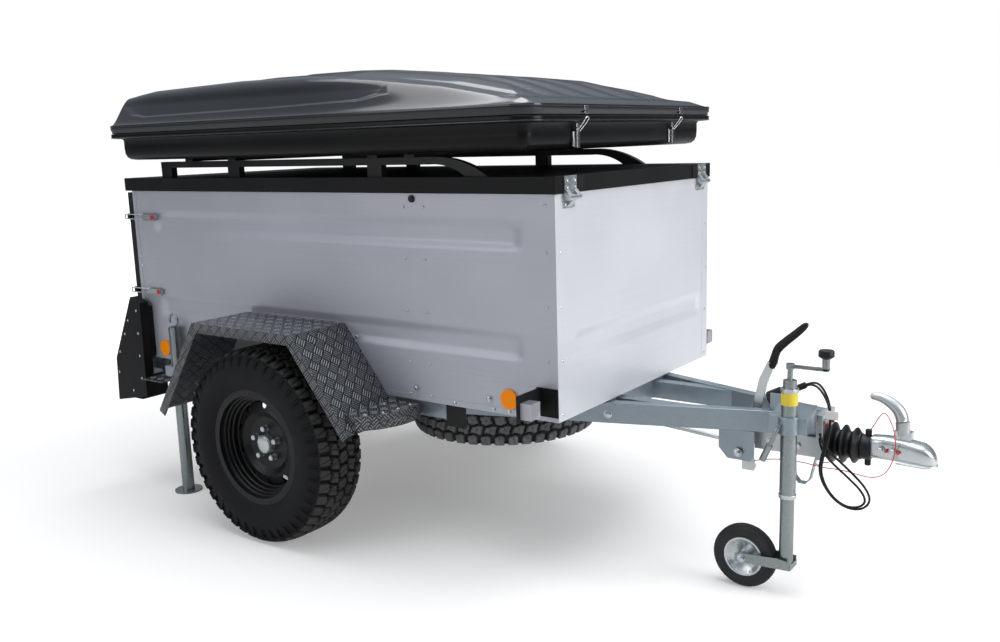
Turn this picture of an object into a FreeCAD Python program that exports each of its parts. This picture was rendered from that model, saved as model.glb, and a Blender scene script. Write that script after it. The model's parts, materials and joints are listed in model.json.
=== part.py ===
import FreeCAD, Part
import math
import os

# Folding camper trailer: a single-axle braked box trailer with a hinged lid, a drop tailgate
# and a hard-shell roof tent carried on rails on the lid.
# Millimetres, +Z up, +X towards the coupling, +Y to the trailer's left. In this file x = 0 is
# at the wheels' axis, y = 0 on the centre line and z = 0 on the ground; save() moves the
# finished pieces so that x = 0 lies midway between the coupling's tip and the rear lamps.

os.makedirs("parts", exist_ok=True)
V = FreeCAD.Vector
FORWARD = V(1, 0, 0)
ACROSS = V(0, 1, 0)
UP = V(0, 0, 1)

# ---- driving dimensions -------------------------------------------------------------------
BODY_REAR = -930.0            # rear end of the side walls
BODY_FRONT = 1118.0           # outer face of the front wall
BODY_HALF = 540.0             # half the box's outer width
BODY_BOTTOM = 541.0           # lower edge of the walls
WALL = 20.0                   # thickness of a folded double wall
FLOOR_BOTTOM = 535.0
FLOOR_THICK = 18.0
SWAGE_DEPTH = 9.0             # pressed channels along the side walls
SWAGE_SLOPE = 30.0
LOW_SWAGE = (711.0, 811.0)    # heights of the lower channel
HIGH_SWAGE = (1054.0, 1158.0)

LID_BOTTOM = 1232.0
LID_TOP = 1283.5
LID_OVERHANG = 7.0            # past the walls, at the front and both sides
LID_SKIN = 4.0
LID_RIM = 25.0
REST_GAP = 0.5                # between the lid's rim and the walls' top edge

TAILGATE_THICK = 30.0
TAILGATE_GAP = 1.0            # behind the walls' rear edge
TAILGATE_HEAD_GAP = 6.5       # under the lid's rim
TAILGATE_LIFT = 6.0           # of its lower edge above the walls' lower edge

TYRE_RADIUS = 352.0
TYRE_WIDTH = 214.0
TYRE_BEAD_RADIUS = 191.0
TYRE_OUTER_FACE = 802.0       # distance of its outer sidewall from the centre line
RIM_FLANGE_RADIUS = 208.0
RIM_SHEET = 5.0
DISC_INSET = 85.0             # of the rim's disc from the tyre's outer sidewall
HUB_RADIUS = 42.0
STUB_RADIUS = 20.0
RUNNING_GAP = 0.08            # radial clearance of a part that turns or slides on a pin
MOVING_GAP = 5.0              # clearance round moving pieces

AXLE_BEAM_X = 120.0
AXLE_BEAM_SIZE = 70.0
SWING_ARM_Y = (526.0, 552.0)

GUARD_TOP = 780.0             # mudguard
GUARD_SHEET = 4.0
GUARD_LIP = 37.0
GUARD_HALF = 800.0            # its outer edge from the centre line
GUARD_FLAT = (-270.0, 240.0)
GUARD_FRONT_TIP = (482.0, 470.0)
GUARD_REAR_TIP = (-508.0, 424.0)
STEP_TOP = 530.0
STEP_SKIRT = 48.0
STEP_EDGE = ((568.0, BODY_HALF), (566.0, 665.0), (492.0, 772.0))   # three points of its arc

RAIL_TOP = 535.0              # drawbar and chassis members
RAIL_HEIGHT = 70.0
RAIL_WIDTH = 38.0
RAIL_SPREAD = 0.317           # sideways travel of a drawbar rail per unit of length
RAIL_TIP_X = 1744.0
RAIL_TIP_Y = 40.0
SIDE_RAIL_Y = (478.0, 520.0)
SIDE_RAIL_HEIGHT = 50.0
SIDE_RAIL_FRONT = 662.0
CROSS_MEMBER_X = (1050.0, 1100.0)

SHAFT_Z = 440.0               # axis of the overrun shaft
SHAFT_RADIUS = 24.0
BALL_X = 2046.0               # centre of the towing ball in the coupling
BALL_Z = 440.0
BALL_BORE = 25.1              # radius of the coupling's socket
COUPLING_TIP = 2084.0
COUPLING_HALF = 38.0

JOCKEY_X = 1711.0
JOCKEY_Y = -206.0
JOCKEY_OUTER = 24.0
JOCKEY_INNER = 21.0
JOCKEY_TUBE_Z = (310.0, 650.0)
JOCKEY_BORE = 18.0            # inside the leg
JOCKEY_LEG_BOTTOM = 109.0
JOCKEY_LEG_TOP = 485.0
JOCKEY_TRAIL = 129.0
JOCKEY_WHEEL_RADIUS = 100.0
JOCKEY_WHEEL_HALF = 22.0
JOCKEY_PIN = 6.0

LEVER_BOLT = (1513.0, 392.0)  # the handbrake's pivot
STRAP_Y = (36.0, 60.0)        # safety strap under the housing

STAND_X = -690.0
STAND_Y = 570.0
STAND_RADIUS = 24.0
STAND_TOP = 690.0
STAND_FOOT = 55.0

LIGHT_BOX_REAR = -1075.0
LIGHT_BOX_Y = (560.0, 600.0)

RACK_Y = 510.0                # roof rails on the lid
RACK_WIDTH = 26.0
RACK_BAR = (1322.0, 1346.0)
CROSS_BAR_TOP = 1356.0

TENT_FRONT = 1105.0
TENT_REAR = -935.0
TENT_HALF = 640.0
TENT_CORNER = 80.0
TENT_SEAM = 1460.0            # height where the lid of the tent meets its tray
TENT_WALL = 6.0
TRAY_INSET = 45.0
TRAY_FLANGE = (1441.0, 1460.0)

SPARE_X = 530.0
SPARE_Z = 430.0
SPARE_WIDTH = 205.0

LATCH_Z = (1128.0, 824.0)

# ---- values that follow from them ----------------------------------------------------------
MIDDLE_X = (COUPLING_TIP + LIGHT_BOX_REAR) / 2
WHEEL_MID = TYRE_OUTER_FACE - TYRE_WIDTH / 2
DISC_Y = TYRE_OUTER_FACE - DISC_INSET
WALL_TOP = LID_BOTTOM - REST_GAP
LID_FRONT = BODY_FRONT + LID_OVERHANG
LID_HALF = BODY_HALF + LID_OVERHANG
TAILGATE_X = (BODY_REAR - TAILGATE_GAP - TAILGATE_THICK, BODY_REAR - TAILGATE_GAP)
LID_REAR = TAILGATE_X[0] - 5.0
TAILGATE_Z = (BODY_BOTTOM + TAILGATE_LIFT, LID_BOTTOM - TAILGATE_HEAD_GAP)
TAILGATE_PIVOT = (TAILGATE_X[0] - 8.0, TAILGATE_Z[0] - 3.0)
LID_PIVOT = (LID_FRONT + 15.0, LID_BOTTOM - 12.0)
TENT_PIVOT = (TENT_REAR - 12.0, TENT_SEAM - 8.0)
RAIL_BOTTOM = RAIL_TOP - RAIL_HEIGHT
AXLE_BEAM_TOP = RAIL_TOP - SIDE_RAIL_HEIGHT
JOCKEY_WHEEL_X = JOCKEY_X - JOCKEY_TRAIL


# ---- small tools ---------------------------------------------------------------------------
def block(x, y, z):
    """Box from (low, high) pairs."""
    return Part.makeBox(x[1] - x[0], y[1] - y[0], z[1] - z[0], V(x[0], y[0], z[0]))


def rod(start, end, radius):
    """Round bar between two points."""
    a, b = V(*start), V(*end)
    return Part.makeCylinder(radius, (b - a).Length, a, b - a)


def sheet_xz(points, y):
    """Side outline in X and Z, carried across from y[0] to y[1]."""
    wire = Part.makePolygon([V(px, y[0], pz) for px, pz in points + points[:1]])
    return Part.Face(wire).extrude(V(0, y[1] - y[0], 0))


def sheet_xy(points, z):
    """Plan outline in X and Y, carried up from z[0] to z[1]."""
    wire = Part.makePolygon([V(px, py, z[0]) for px, py in points + points[:1]])
    return Part.Face(wire).extrude(V(0, 0, z[1] - z[0]))


def turned(edges, centre, axis):
    """Closed half-section turned a full circle about a line through centre."""
    face = Part.Face(Part.Wire(edges))
    solid = face.revolve(centre, axis, 360)
    return solid if solid.Volume > 0 else solid.reversed()


def turned_points(points, place, centre, axis):
    """Straight-sided half-section; place() puts a (radius, along) pair in space."""
    corners = [place(r, a) for r, a in points + points[:1]]
    edges = [Part.LineSegment(p, q).toShape() for p, q in zip(corners, corners[1:])]
    return turned(edges, centre, axis)


def join(first, *others):
    """One solid out of touching or overlapping ones."""
    return first.fuse(list(others)).removeSplitter()


def mirrored(shape):
    """The same piece on the other side of the centre line."""
    return shape.mirror(V(0, 0, 0), ACROSS)


def group(*shapes):
    return Part.makeCompound(list(shapes))


def save(name, shape):
    """Writes one sub-part, moved to the frame's origin."""
    moved = shape.copy()
    moved.translate(V(-MIDDLE_X, 0, 0))
    for solid in moved.Solids:
        if not solid.isValid() or solid.Volume <= 0:
            print("CHECK", name, solid.isValid(), solid.Volume)
    moved.exportStep("parts/" + name + ".step")


def save_pair(name, left):
    """The left piece and its mirror image, each in its own node."""
    save(name + "_left", left)
    save(name + "_right", mirrored(left))


# ---- box: floor, walls -----------------------------------------------------------------------
def swage(x, y_face, heights):
    """Tapered channel pressed inwards from the wall's outer face at y_face."""
    inner = y_face - SWAGE_DEPTH
    return Part.makeWedge(x[0] + SWAGE_SLOPE, inner, heights[0] + SWAGE_SLOPE,
                          heights[0], x[0],
                          x[1] - SWAGE_SLOPE, y_face, heights[1] - SWAGE_SLOPE,
                          heights[1], x[1])


def side_wall():
    wall = block((BODY_REAR, BODY_FRONT), (BODY_HALF - WALL, BODY_HALF), (BODY_BOTTOM, WALL_TOP))
    length = (BODY_REAR + 125, BODY_FRONT - 118)
    for heights in (LOW_SWAGE, HIGH_SWAGE):
        wall = wall.cut(swage(length, BODY_HALF, heights))
    return wall


def front_wall():
    inner = BODY_HALF - WALL
    wall = block((BODY_FRONT - WALL, BODY_FRONT), (-inner, inner), (BODY_BOTTOM, WALL_TOP))
    cut = swage((-inner + 70, inner - 40), 0, LOW_SWAGE)
    cut.rotate(V(0, 0, 0), UP, -90)
    cut.translate(V(BODY_FRONT, 0, 0))
    return wall.cut(cut)


def floor_panel():
    inner = BODY_HALF - WALL
    return block((BODY_REAR, BODY_FRONT - WALL), (-inner, inner),
                 (FLOOR_BOTTOM, FLOOR_BOTTOM + FLOOR_THICK))


# ---- chassis and drawbar ---------------------------------------------------------------------
def rail_outer_y(x):
    return RAIL_TIP_Y + (RAIL_TIP_X - x) * RAIL_SPREAD


def rail_x_at(y):
    """Where the drawbar rail's outer face is y from the centre line."""
    return RAIL_TIP_X - (y - RAIL_TIP_Y) / RAIL_SPREAD


def drawbar_rail():
    end = SIDE_RAIL_Y[0]
    points = [(RAIL_TIP_X, RAIL_TIP_Y), (rail_x_at(end), end),
              (rail_x_at(end + RAIL_WIDTH), end), (RAIL_TIP_X, RAIL_TIP_Y - RAIL_WIDTH)]
    return sheet_xy(points, (RAIL_BOTTOM, RAIL_TOP))


def inner_rail():
    """Short straight rail between the front cross member and the drawbar rail."""
    y = (110.0, 150.0)
    start = CROSS_MEMBER_X[1]
    points = [(start, y[0]), (rail_x_at(y[0] + RAIL_WIDTH), y[0]),
              (rail_x_at(y[1] + RAIL_WIDTH), y[1]), (start, y[1])]
    return sheet_xy(points, (RAIL_BOTTOM + 4, RAIL_TOP - 4))


def side_rail():
    return block((BODY_REAR + 30, SIDE_RAIL_FRONT), SIDE_RAIL_Y,
                 (RAIL_TOP - SIDE_RAIL_HEIGHT, RAIL_TOP))


def front_cross_member():
    """Cross member between the inner faces of the two drawbar rails."""
    back, front = CROSS_MEMBER_X
    back_y = rail_outer_y(back) - RAIL_WIDTH
    front_y = rail_outer_y(front) - RAIL_WIDTH
    return sheet_xy([(back, -back_y), (front, -front_y), (front, front_y), (back, back_y)],
                    (RAIL_BOTTOM, RAIL_TOP))


def rear_cross_member():
    return block((TAILGATE_X[0] - 4, BODY_REAR + 30), (-BODY_HALF, BODY_HALF),
                 (RAIL_BOTTOM, RAIL_TOP))


def axle_beam():
    half = AXLE_BEAM_SIZE / 2
    centre = AXLE_BEAM_TOP - half
    return block((AXLE_BEAM_X - half, AXLE_BEAM_X + half), (-500, 500),
                 (centre - half, AXLE_BEAM_TOP))


def swing_arm():
    """Trailing arm of the rubber torsion axle, with the stub axle that carries the hub."""
    beam_z = AXLE_BEAM_TOP - AXLE_BEAM_SIZE / 2
    y = SWING_ARM_Y
    big = rod((AXLE_BEAM_X, y[0], beam_z), (AXLE_BEAM_X, y[1], beam_z), 36)
    small = rod((0, y[0], TYRE_RADIUS), (0, y[1], TYRE_RADIUS), 32)
    along = V(AXLE_BEAM_X, 0, beam_z - TYRE_RADIUS)
    side = V(-along.z, 0, along.x).normalize() * 31
    web = sheet_xz([(side.x, TYRE_RADIUS + side.z), (-side.x, TYRE_RADIUS - side.z),
                    (AXLE_BEAM_X - side.x, beam_z - side.z),
                    (AXLE_BEAM_X + side.x, beam_z + side.z)], y)
    bar = rod((AXLE_BEAM_X, 500, beam_z), (AXLE_BEAM_X, y[0], beam_z), 25)
    stub = rod((0, y[1], TYRE_RADIUS), (0, DISC_Y - 12, TYRE_RADIUS), STUB_RADIUS)
    return join(big, small, web, bar, stub)


def brake_plate():
    y = (SWING_ARM_Y[1], SWING_ARM_Y[1] + 5)
    plate = rod((0, y[0], TYRE_RADIUS), (0, y[1], TYRE_RADIUS), 112)
    return plate.cut(rod((0, y[0], TYRE_RADIUS), (0, y[1], TYRE_RADIUS), STUB_RADIUS + 0.02))


# ---- road wheel --------------------------------------------------------------------------------
def tyre_section(width, place):
    """Half-section of a tyre: round sidewalls, rounded shoulders and a slightly crowned tread."""
    half = width / 2
    bead = half - 24
    low = [place(TYRE_BEAD_RADIUS, -bead), place(RIM_FLANGE_RADIUS + 3, -bead)]
    wall_mid = place(272, -half)
    shoulder = place(TYRE_RADIUS - 16, -(half - 9))
    edge = place(TYRE_RADIUS - 4, -(half - 22))
    crown = place(TYRE_RADIUS, 0)
    far_edge = place(TYRE_RADIUS - 4, half - 22)
    far_shoulder = place(TYRE_RADIUS - 16, half - 9)
    far_mid = place(272, half)
    high = [place(RIM_FLANGE_RADIUS + 3, bead), place(TYRE_BEAD_RADIUS, bead)]
    return [Part.LineSegment(low[0], low[1]).toShape(),
            Part.Arc(low[1], wall_mid, shoulder).toShape(),
            Part.LineSegment(shoulder, edge).toShape(),
            Part.Arc(edge, crown, far_edge).toShape(),
            Part.LineSegment(far_edge, far_shoulder).toShape(),
            Part.Arc(far_shoulder, far_mid, high[0]).toShape(),
            Part.LineSegment(high[0], high[1]).toShape(),
            Part.LineSegment(high[1], low[0]).toShape()]


def rim_outline(width):
    """Half-section of the rim's barrel as (radius, along) pairs, outer skin then inner skin."""
    half = width / 2 - 24
    seat = TYRE_BEAD_RADIUS - 0.5
    outer = [(RIM_FLANGE_RADIUS, -half - 6), (RIM_FLANGE_RADIUS, -half - 1), (seat, -half - 0.5),
             (seat - 2, -half + 22), (165, -half + 34), (165, 10), (seat - 2, 34),
             (seat, half + 0.5), (RIM_FLANGE_RADIUS, half + 1), (RIM_FLANGE_RADIUS, half + 6)]
    inner = [(r - RIM_SHEET, a) for r, a in outer[::-1]]
    inner[0] = (seat - RIM_SHEET, half + 6)
    inner[1] = (seat - RIM_SHEET, half + 5)
    inner[-1] = (seat - RIM_SHEET, -half - 6)
    inner[-2] = (seat - RIM_SHEET, -half - 5)
    return outer + [inner[0]] + inner[2:-2] + [inner[-1]]


def dish_outline(disc):
    """Half-section of the pressed disc whose outer face lies at disc along the axle."""
    return [(36, disc), (95, disc), (118, disc + 16), (150, disc + 6), (163, disc - 22),
            (163, disc - 28), (146, disc + 1), (117, disc + 10), (97, disc - 6), (36, disc - 6)]


def road_wheel_place(r, a):
    return V(0, WHEEL_MID + a, TYRE_RADIUS + r)


def spare_place(r, a):
    return V(SPARE_X + r, 0, SPARE_Z - a)


def rim(place, centre, axis, width, disc):
    """Steel rim: rolled barrel and a dished disc with vent holes and five bolt holes."""
    barrel = turned_points(rim_outline(width), place, centre, axis)
    plate = turned_points(dish_outline(disc), place, centre, axis)
    wheel = join(barrel, plate)
    return wheel.cut(bolt_ring(place, centre, axis, disc - 30, 60, 13, 284, 10))


def bolt_ring(place, centre, axis, along, length, radius, pcd, count):
    """Equal cylinders spaced round a pitch circle of diameter pcd."""
    bolts = []
    for k in range(count):
        bolt = Part.makeCylinder(radius, length, place(pcd / 2, along), axis)
        bolt.rotate(centre, axis, 360.0 * k / count)
        bolts.append(bolt)
    return bolts


WHEEL_CENTRE = V(0, WHEEL_MID, TYRE_RADIUS)


def road_tyre():
    return turned(tyre_section(TYRE_WIDTH, road_wheel_place), WHEEL_CENTRE, ACROSS)


def road_rim():
    disc = DISC_Y - WHEEL_MID
    wheel = rim(road_wheel_place, WHEEL_CENTRE, ACROSS, TYRE_WIDTH, disc)
    holes = bolt_ring(road_wheel_place, WHEEL_CENTRE, ACROSS, disc - 20, 60, 8.5, 112, 5)
    return wheel.cut(holes)


def hub():
    """Brake drum, hub barrel, wheel flange, grease cap and five wheel bolts."""
    back = SWING_ARM_Y[1] + 5 + MOVING_GAP
    face = DISC_Y - 6
    axis_z = TYRE_RADIUS
    drum = rod((0, back, axis_z), (0, back + 62, axis_z), 105)
    barrel = rod((0, back + 62, axis_z), (0, face, axis_z), HUB_RADIUS)
    flange = rod((0, face - 9, axis_z), (0, face, axis_z), 72)
    cap = rod((0, face, axis_z), (0, DISC_Y + 22, axis_z), 33)
    bolts = bolt_ring(road_wheel_place, WHEEL_CENTRE, ACROSS, face - WHEEL_MID - 1,
                      30, 8.0, 112, 5)
    solid = join(drum, barrel, flange, cap, *bolts)
    bore = rod((0, back, axis_z), (0, DISC_Y - 11, axis_z), STUB_RADIUS + RUNNING_GAP)
    return solid.cut(bore)


# ---- spare wheel -------------------------------------------------------------------------------
SPARE_CENTRE = V(SPARE_X, 0, SPARE_Z)


def spare_tyre():
    return turned(tyre_section(SPARE_WIDTH, spare_place), SPARE_CENTRE, UP)


def spare_rim():
    barrel = turned_points(rim_outline(SPARE_WIDTH), spare_place, SPARE_CENTRE, UP)
    return join(barrel, turned_points(dish_outline(22), spare_place, SPARE_CENTRE, UP))


def spare_carrier():
    """Hanger from the floor through the rim's centre, with its clamping plate below the disc."""
    disc_low = SPARE_Z - 22
    stem = rod((SPARE_X, 0, FLOOR_BOTTOM), (SPARE_X, 0, disc_low - 40), 12)
    plate = rod((SPARE_X, 0, disc_low - 12), (SPARE_X, 0, disc_low), 70)
    return join(stem, plate)


def spare_bracket():
    """Bent plate on the right side rail that keeps the spare from swinging."""
    y = -(SIDE_RAIL_Y[1] - 4)
    return group(block((664, 745), (y - 4, y), (462, RAIL_TOP)))


# ---- mudguards and steps -------------------------------------------------------------------------
def guard_outline():
    return [GUARD_FRONT_TIP, (GUARD_FLAT[1], GUARD_TOP), (GUARD_FLAT[0], GUARD_TOP),
            GUARD_REAR_TIP]


def inset_outline(points, depth):
    """Open outline moved inwards by depth, with its ends kept square to their runs."""
    moved = []
    for k, point in enumerate(points):
        near = points[max(k - 1, 0)], points[min(k + 1, len(points) - 1)]
        runs = [r for r in ((point[0] - near[0][0], point[1] - near[0][1]),
                            (near[1][0] - point[0], near[1][1] - point[1])) if r != (0, 0)]
        normals = []
        for dx, dz in runs:
            length = math.hypot(dx, dz)
            normals.append((-dz / length, dx / length))
        sx = sum(n[0] for n in normals)
        sz = sum(n[1] for n in normals)
        scale = len(normals) * depth / ((sx * sx + sz * sz) / len(normals)) / len(normals)
        moved.append((point[0] + sx * scale, point[1] + sz * scale))
    return moved


def mudguard():
    outer = guard_outline()
    inner = inset_outline(outer, GUARD_SHEET)
    lip = inset_outline(outer, GUARD_LIP)
    skin = sheet_xz(outer + inner[::-1], (BODY_HALF, GUARD_HALF))
    edge = sheet_xz(outer + lip[::-1], (GUARD_HALF - GUARD_SHEET, GUARD_HALF))
    return join(skin, edge)


def guard_front_x(z):
    """Outer face of the mudguard's front slope at height z."""
    (x0, z0), (x1, z1) = GUARD_FRONT_TIP, (GUARD_FLAT[1], GUARD_TOP)
    return x0 + (z - z0) * (x1 - x0) / (z1 - z0)


def front_step():
    """Tread plate between the mudguard and the box, with a turned-down curved skirt."""
    skirt_low = STEP_TOP - STEP_SKIRT
    under = STEP_TOP - GUARD_SHEET
    back_x = guard_front_x(STEP_TOP)
    slope_x = guard_front_x(skirt_low)
    beside_box, middle, corner = (V(x, y, skirt_low) for x, y in STEP_EDGE)
    rear_corner = V(back_x, corner.y, skirt_low)
    rear_side = V(back_x, BODY_HALF, skirt_low)
    edges = [Part.Arc(beside_box, middle, corner).toShape(),
             Part.LineSegment(corner, rear_corner).toShape(),
             Part.LineSegment(rear_corner, rear_side).toShape(),
             Part.LineSegment(rear_side, beside_box).toShape()]
    outline = Part.Face(Part.Wire(edges))
    solid = outline.extrude(V(0, 0, STEP_SKIRT))
    hollow = outline.makeOffset2D(-GUARD_SHEET).extrude(V(0, 0, STEP_SKIRT - GUARD_SHEET))
    opening = block((back_x - 60, back_x + 30), (BODY_HALF + 6, corner.y - 12), (skirt_low, under))
    mudguard_side = sheet_xz([(slope_x, skirt_low), (back_x, STEP_TOP), (back_x - 80, STEP_TOP),
                              (back_x - 80, skirt_low)], (500, 810))
    return solid.cut([hollow, opening]).cut(mudguard_side)


def rear_step():
    """Small tread plate behind the mudguard, on a web under the box's side."""
    web = block((-862, -730), (SIDE_RAIL_Y[1], SIDE_RAIL_Y[1] + 4), (462, RAIL_TOP))
    shelf = block((-862, -730), (SIDE_RAIL_Y[1], 622), (462, 466))
    return join(web, shelf)


# ---- rear lights ---------------------------------------------------------------------------------
def light_box():
    """Black guard plate beside the tailgate, with the lamp housing at its foot."""
    y = LIGHT_BOX_Y
    outline = [(LIGHT_BOX_REAR, 345), (-1065, 530), (-927, 800), (-865, 780), (-873, 384)]
    plate = sheet_xz(outline, y)
    inner = [(-1060, 355), (-1052, 528), (-930, 770), (-879, 765), (-884, 392)]
    plate = plate.cut(sheet_xz(inner, (y[0] - 1, y[1] - 4)))
    housing = block((LIGHT_BOX_REAR, TAILGATE_X[0] - 4), (430, y[0]), (350, 528))
    flange = block((BODY_REAR, -866), (BODY_HALF, y[0]), (BODY_BOTTOM + 10, 760))
    return join(plate, housing, flange).cut(
        block((LIGHT_BOX_REAR - 1, LIGHT_BOX_REAR + 18), (440, 590), (362, 500)))


def tail_lamp():
    x = (LIGHT_BOX_REAR + 2, LIGHT_BOX_REAR + 18)
    return block(x, (440.5, 589.5), (362.5, 499.5))


def marker_bracket():
    """Bent plate on the box's front corner that carries the front marker lamp."""
    leaf = block((1040, BODY_FRONT), (BODY_HALF, BODY_HALF + 4), (556, 646))
    arm = block((1050, 1054), (BODY_HALF + 4, 668), (564, 646))
    return join(leaf, arm)


def marker_lamp():
    return block((1054, 1094), (604, 654), (572, 622))


def side_reflector(x, z):
    return rod((x, BODY_HALF, z), (x, BODY_HALF + 7, z), 32)


# ---- parking stands --------------------------------------------------------------------------------
def rear_stand():
    foot = rod((STAND_X, STAND_Y, 0), (STAND_X, STAND_Y, 6), STAND_FOOT)
    tube = rod((STAND_X, STAND_Y, 6), (STAND_X, STAND_Y, STAND_TOP), STAND_RADIUS)
    ring = Part.makeTorus(25, 4, V(STAND_X, STAND_Y, STAND_TOP + 26), ACROSS)
    return join(foot, tube, ring)


def stand_clamp():
    arm = block((STAND_X - 36, STAND_X + 36), (SIDE_RAIL_Y[1], STAND_Y + 34), (492, 532))
    bore = rod((STAND_X, STAND_Y, 480), (STAND_X, STAND_Y, 545), STAND_RADIUS + RUNNING_GAP)
    return arm.cut(bore)


# ---- overrun coupling ------------------------------------------------------------------------------
def overrun_housing():
    lower = block((1550, RAIL_TIP_X), (-60, 60), (400, RAIL_BOTTOM))
    front = block((RAIL_TIP_X, 1765), (-60, 60), (396, RAIL_TOP + 2))
    bore = rod((1540, 0, SHAFT_Z), (1770, 0, SHAFT_Z), SHAFT_RADIUS + RUNNING_GAP)
    return join(lower, front).cut(bore)


def drawbar_shaft():
    return rod((1560, 0, SHAFT_Z), (1925, 0, SHAFT_Z), SHAFT_RADIUS)


def bellows():
    """Rubber gaiter: three ridges that shrink towards the collar."""
    start, end = 1765.0, 1867.0
    pitch = (end - start) / 3
    core = SHAFT_RADIUS + 0.5
    outer = [(end, 40.0)]
    for k in range(3):
        base = end - (k + 1) * pitch
        crest = 56 + 5 * k
        outer += [(base + 0.62 * pitch, crest), (base + 0.38 * pitch, crest), (base, 42.0)]
    points = [(a, r) for a, r in outer] + [(start, core), (end, core)]
    corners = [V(a, 0, SHAFT_Z + r) for a, r in points + points[:1]]
    edges = [Part.LineSegment(p, q).toShape() for p, q in zip(corners, corners[1:])]
    return turned(edges, V(start, 0, SHAFT_Z), FORWARD)


def collar():
    """Clamp ring of the gaiter with its two end tabs."""
    ring = rod((1867, 0, SHAFT_Z), (1897, 0, SHAFT_Z), 36)
    ring = ring.cut(rod((1866, 0, SHAFT_Z), (1898, 0, SHAFT_Z), SHAFT_RADIUS + 0.5))
    tabs = [block((1876, 1896), (-9, 9), (SHAFT_Z + side - 13, SHAFT_Z + side + 13))
            for side in (-44, 44)]
    return join(ring, *tabs)


def coupling_head():
    """Pressed-steel ball coupling: sleeve on the shaft, neck and socket."""
    sleeve = block((1898, 1990), (-32, 32), (412, 484))
    nose = rod((BALL_X, 0, 410), (BALL_X, 0, 486), COUPLING_HALF)
    cheeks = block((1975, BALL_X), (-COUPLING_HALF, COUPLING_HALF), (410, 486))
    lug = sheet_xz([(1960, 480), (2020, 480), (2004, 512), (1978, 512)], (-16, 16))
    head = join(sleeve, nose, cheeks, lug)
    shaft = rod((1890, 0, SHAFT_Z), (1925, 0, SHAFT_Z), SHAFT_RADIUS + 0.02)
    socket = rod((BALL_X, 0, 400), (BALL_X, 0, BALL_Z), BALL_BORE)
    dome = Part.makeSphere(BALL_BORE, V(BALL_X, 0, BALL_Z))
    return head.cut([shaft, socket, dome])


def coupling_handle():
    y = (16.0, 20.0)
    outline = [(1962, 486), (2004, 486), (1992, 545), (1958, 604), (1898, 610), (1878, 598),
               (1882, 586), (1940, 580), (1964, 538)]
    cheek = sheet_xz(outline, y)
    back = sheet_xz([(1966, 545), (1992, 545), (1958, 604), (1898, 610), (1878, 598),
                     (1882, 592), (1944, 590)], (-16, 16))
    return join(cheek, mirrored(cheek), back)


# ---- handbrake ---------------------------------------------------------------------------------------
def handbrake_lever():
    """Flat bar that rises between the drawbar rails, with its lower arm."""
    y = (-32.0, -24.0)
    bar = sheet_xz([(1500, 388), (1528, 388), (1556, 520), (1578, 612), (1600, 672),
                    (1578, 682), (1550, 620), (1528, 520)], y)
    arm = sheet_xz([(1500, 392), (1500, 315), (1540, 315), (1547, 330), (1528, 392)],
                   (y[0] - 6, y[0]))
    bolt_hole = rod((LEVER_BOLT[0], -60, LEVER_BOLT[1]), (LEVER_BOLT[0], 0, LEVER_BOLT[1]), 8.1)
    return join(bar, arm).cut(bolt_hole)


def handbrake_grip():
    outline = [(1584, 660), (1606, 652), (1628, 700), (1666, 764), (1706, 806), (1694, 822),
               (1652, 790), (1616, 738)]
    grip = sheet_xz(outline, (-42, -14))
    return grip.cut(handbrake_lever())


def handbrake_bracket():
    """Two cheeks under the drawbar rails joined by the lever's cross bolt."""
    outline = [(1445, RAIL_BOTTOM), (1564, RAIL_BOTTOM), (1564, 380), (1550, 366), (1475, 366),
               (1445, 400)]
    cheek = sheet_xz(outline, (96, 100))
    bolt = rod((LEVER_BOLT[0], -108, LEVER_BOLT[1]), (LEVER_BOLT[0], 108, LEVER_BOLT[1]), 8)
    return join(cheek, mirrored(cheek), bolt)


def brake_rod():
    return rod((1104, -28, 430), (1502, -28, 400), 7)


def safety_strap():
    """Bent strip under the housing that catches the brake cable's hook."""
    width = STRAP_Y
    outer = [(1724, 400), (1700, 290), (1684, 273), (1662, 273), (1646, 290), (1640, 400)]
    inner = [(1634 + 9, 400), (1650, 293), (1664, 277), (1682, 277), (1696, 292), (1720, 400)]
    return sheet_xz(outer + inner, width)


# ---- jockey wheel -------------------------------------------------------------------------------------
def at_jockey(z):
    return (JOCKEY_X, JOCKEY_Y, z)


def jockey_outer_tube():
    z = JOCKEY_TUBE_Z
    tube = rod(at_jockey(z[0]), at_jockey(z[1]), JOCKEY_OUTER)
    tube = tube.cut(rod(at_jockey(z[0]), at_jockey(z[1] - 6), JOCKEY_INNER + RUNNING_GAP))
    cap = rod(at_jockey(z[1]), at_jockey(z[1] + 24), JOCKEY_OUTER - 4)
    spindle = rod(at_jockey(z[1] + 24), at_jockey(z[1] + 58), 8)
    return join(tube, cap, spindle)


def jockey_crank():
    """Crank arm with its round knob."""
    base = JOCKEY_TUBE_Z[1] + 58
    hub_part = rod(at_jockey(base), at_jockey(base + 16), 12)
    arm = block((JOCKEY_X, JOCKEY_X + 112), (JOCKEY_Y - 8, JOCKEY_Y + 8), (base + 4, base + 12))
    knob = rod((JOCKEY_X + 104, JOCKEY_Y, base + 12), (JOCKEY_X + 104, JOCKEY_Y, base + 66), 11)
    return join(hub_part, arm, knob)


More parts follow.
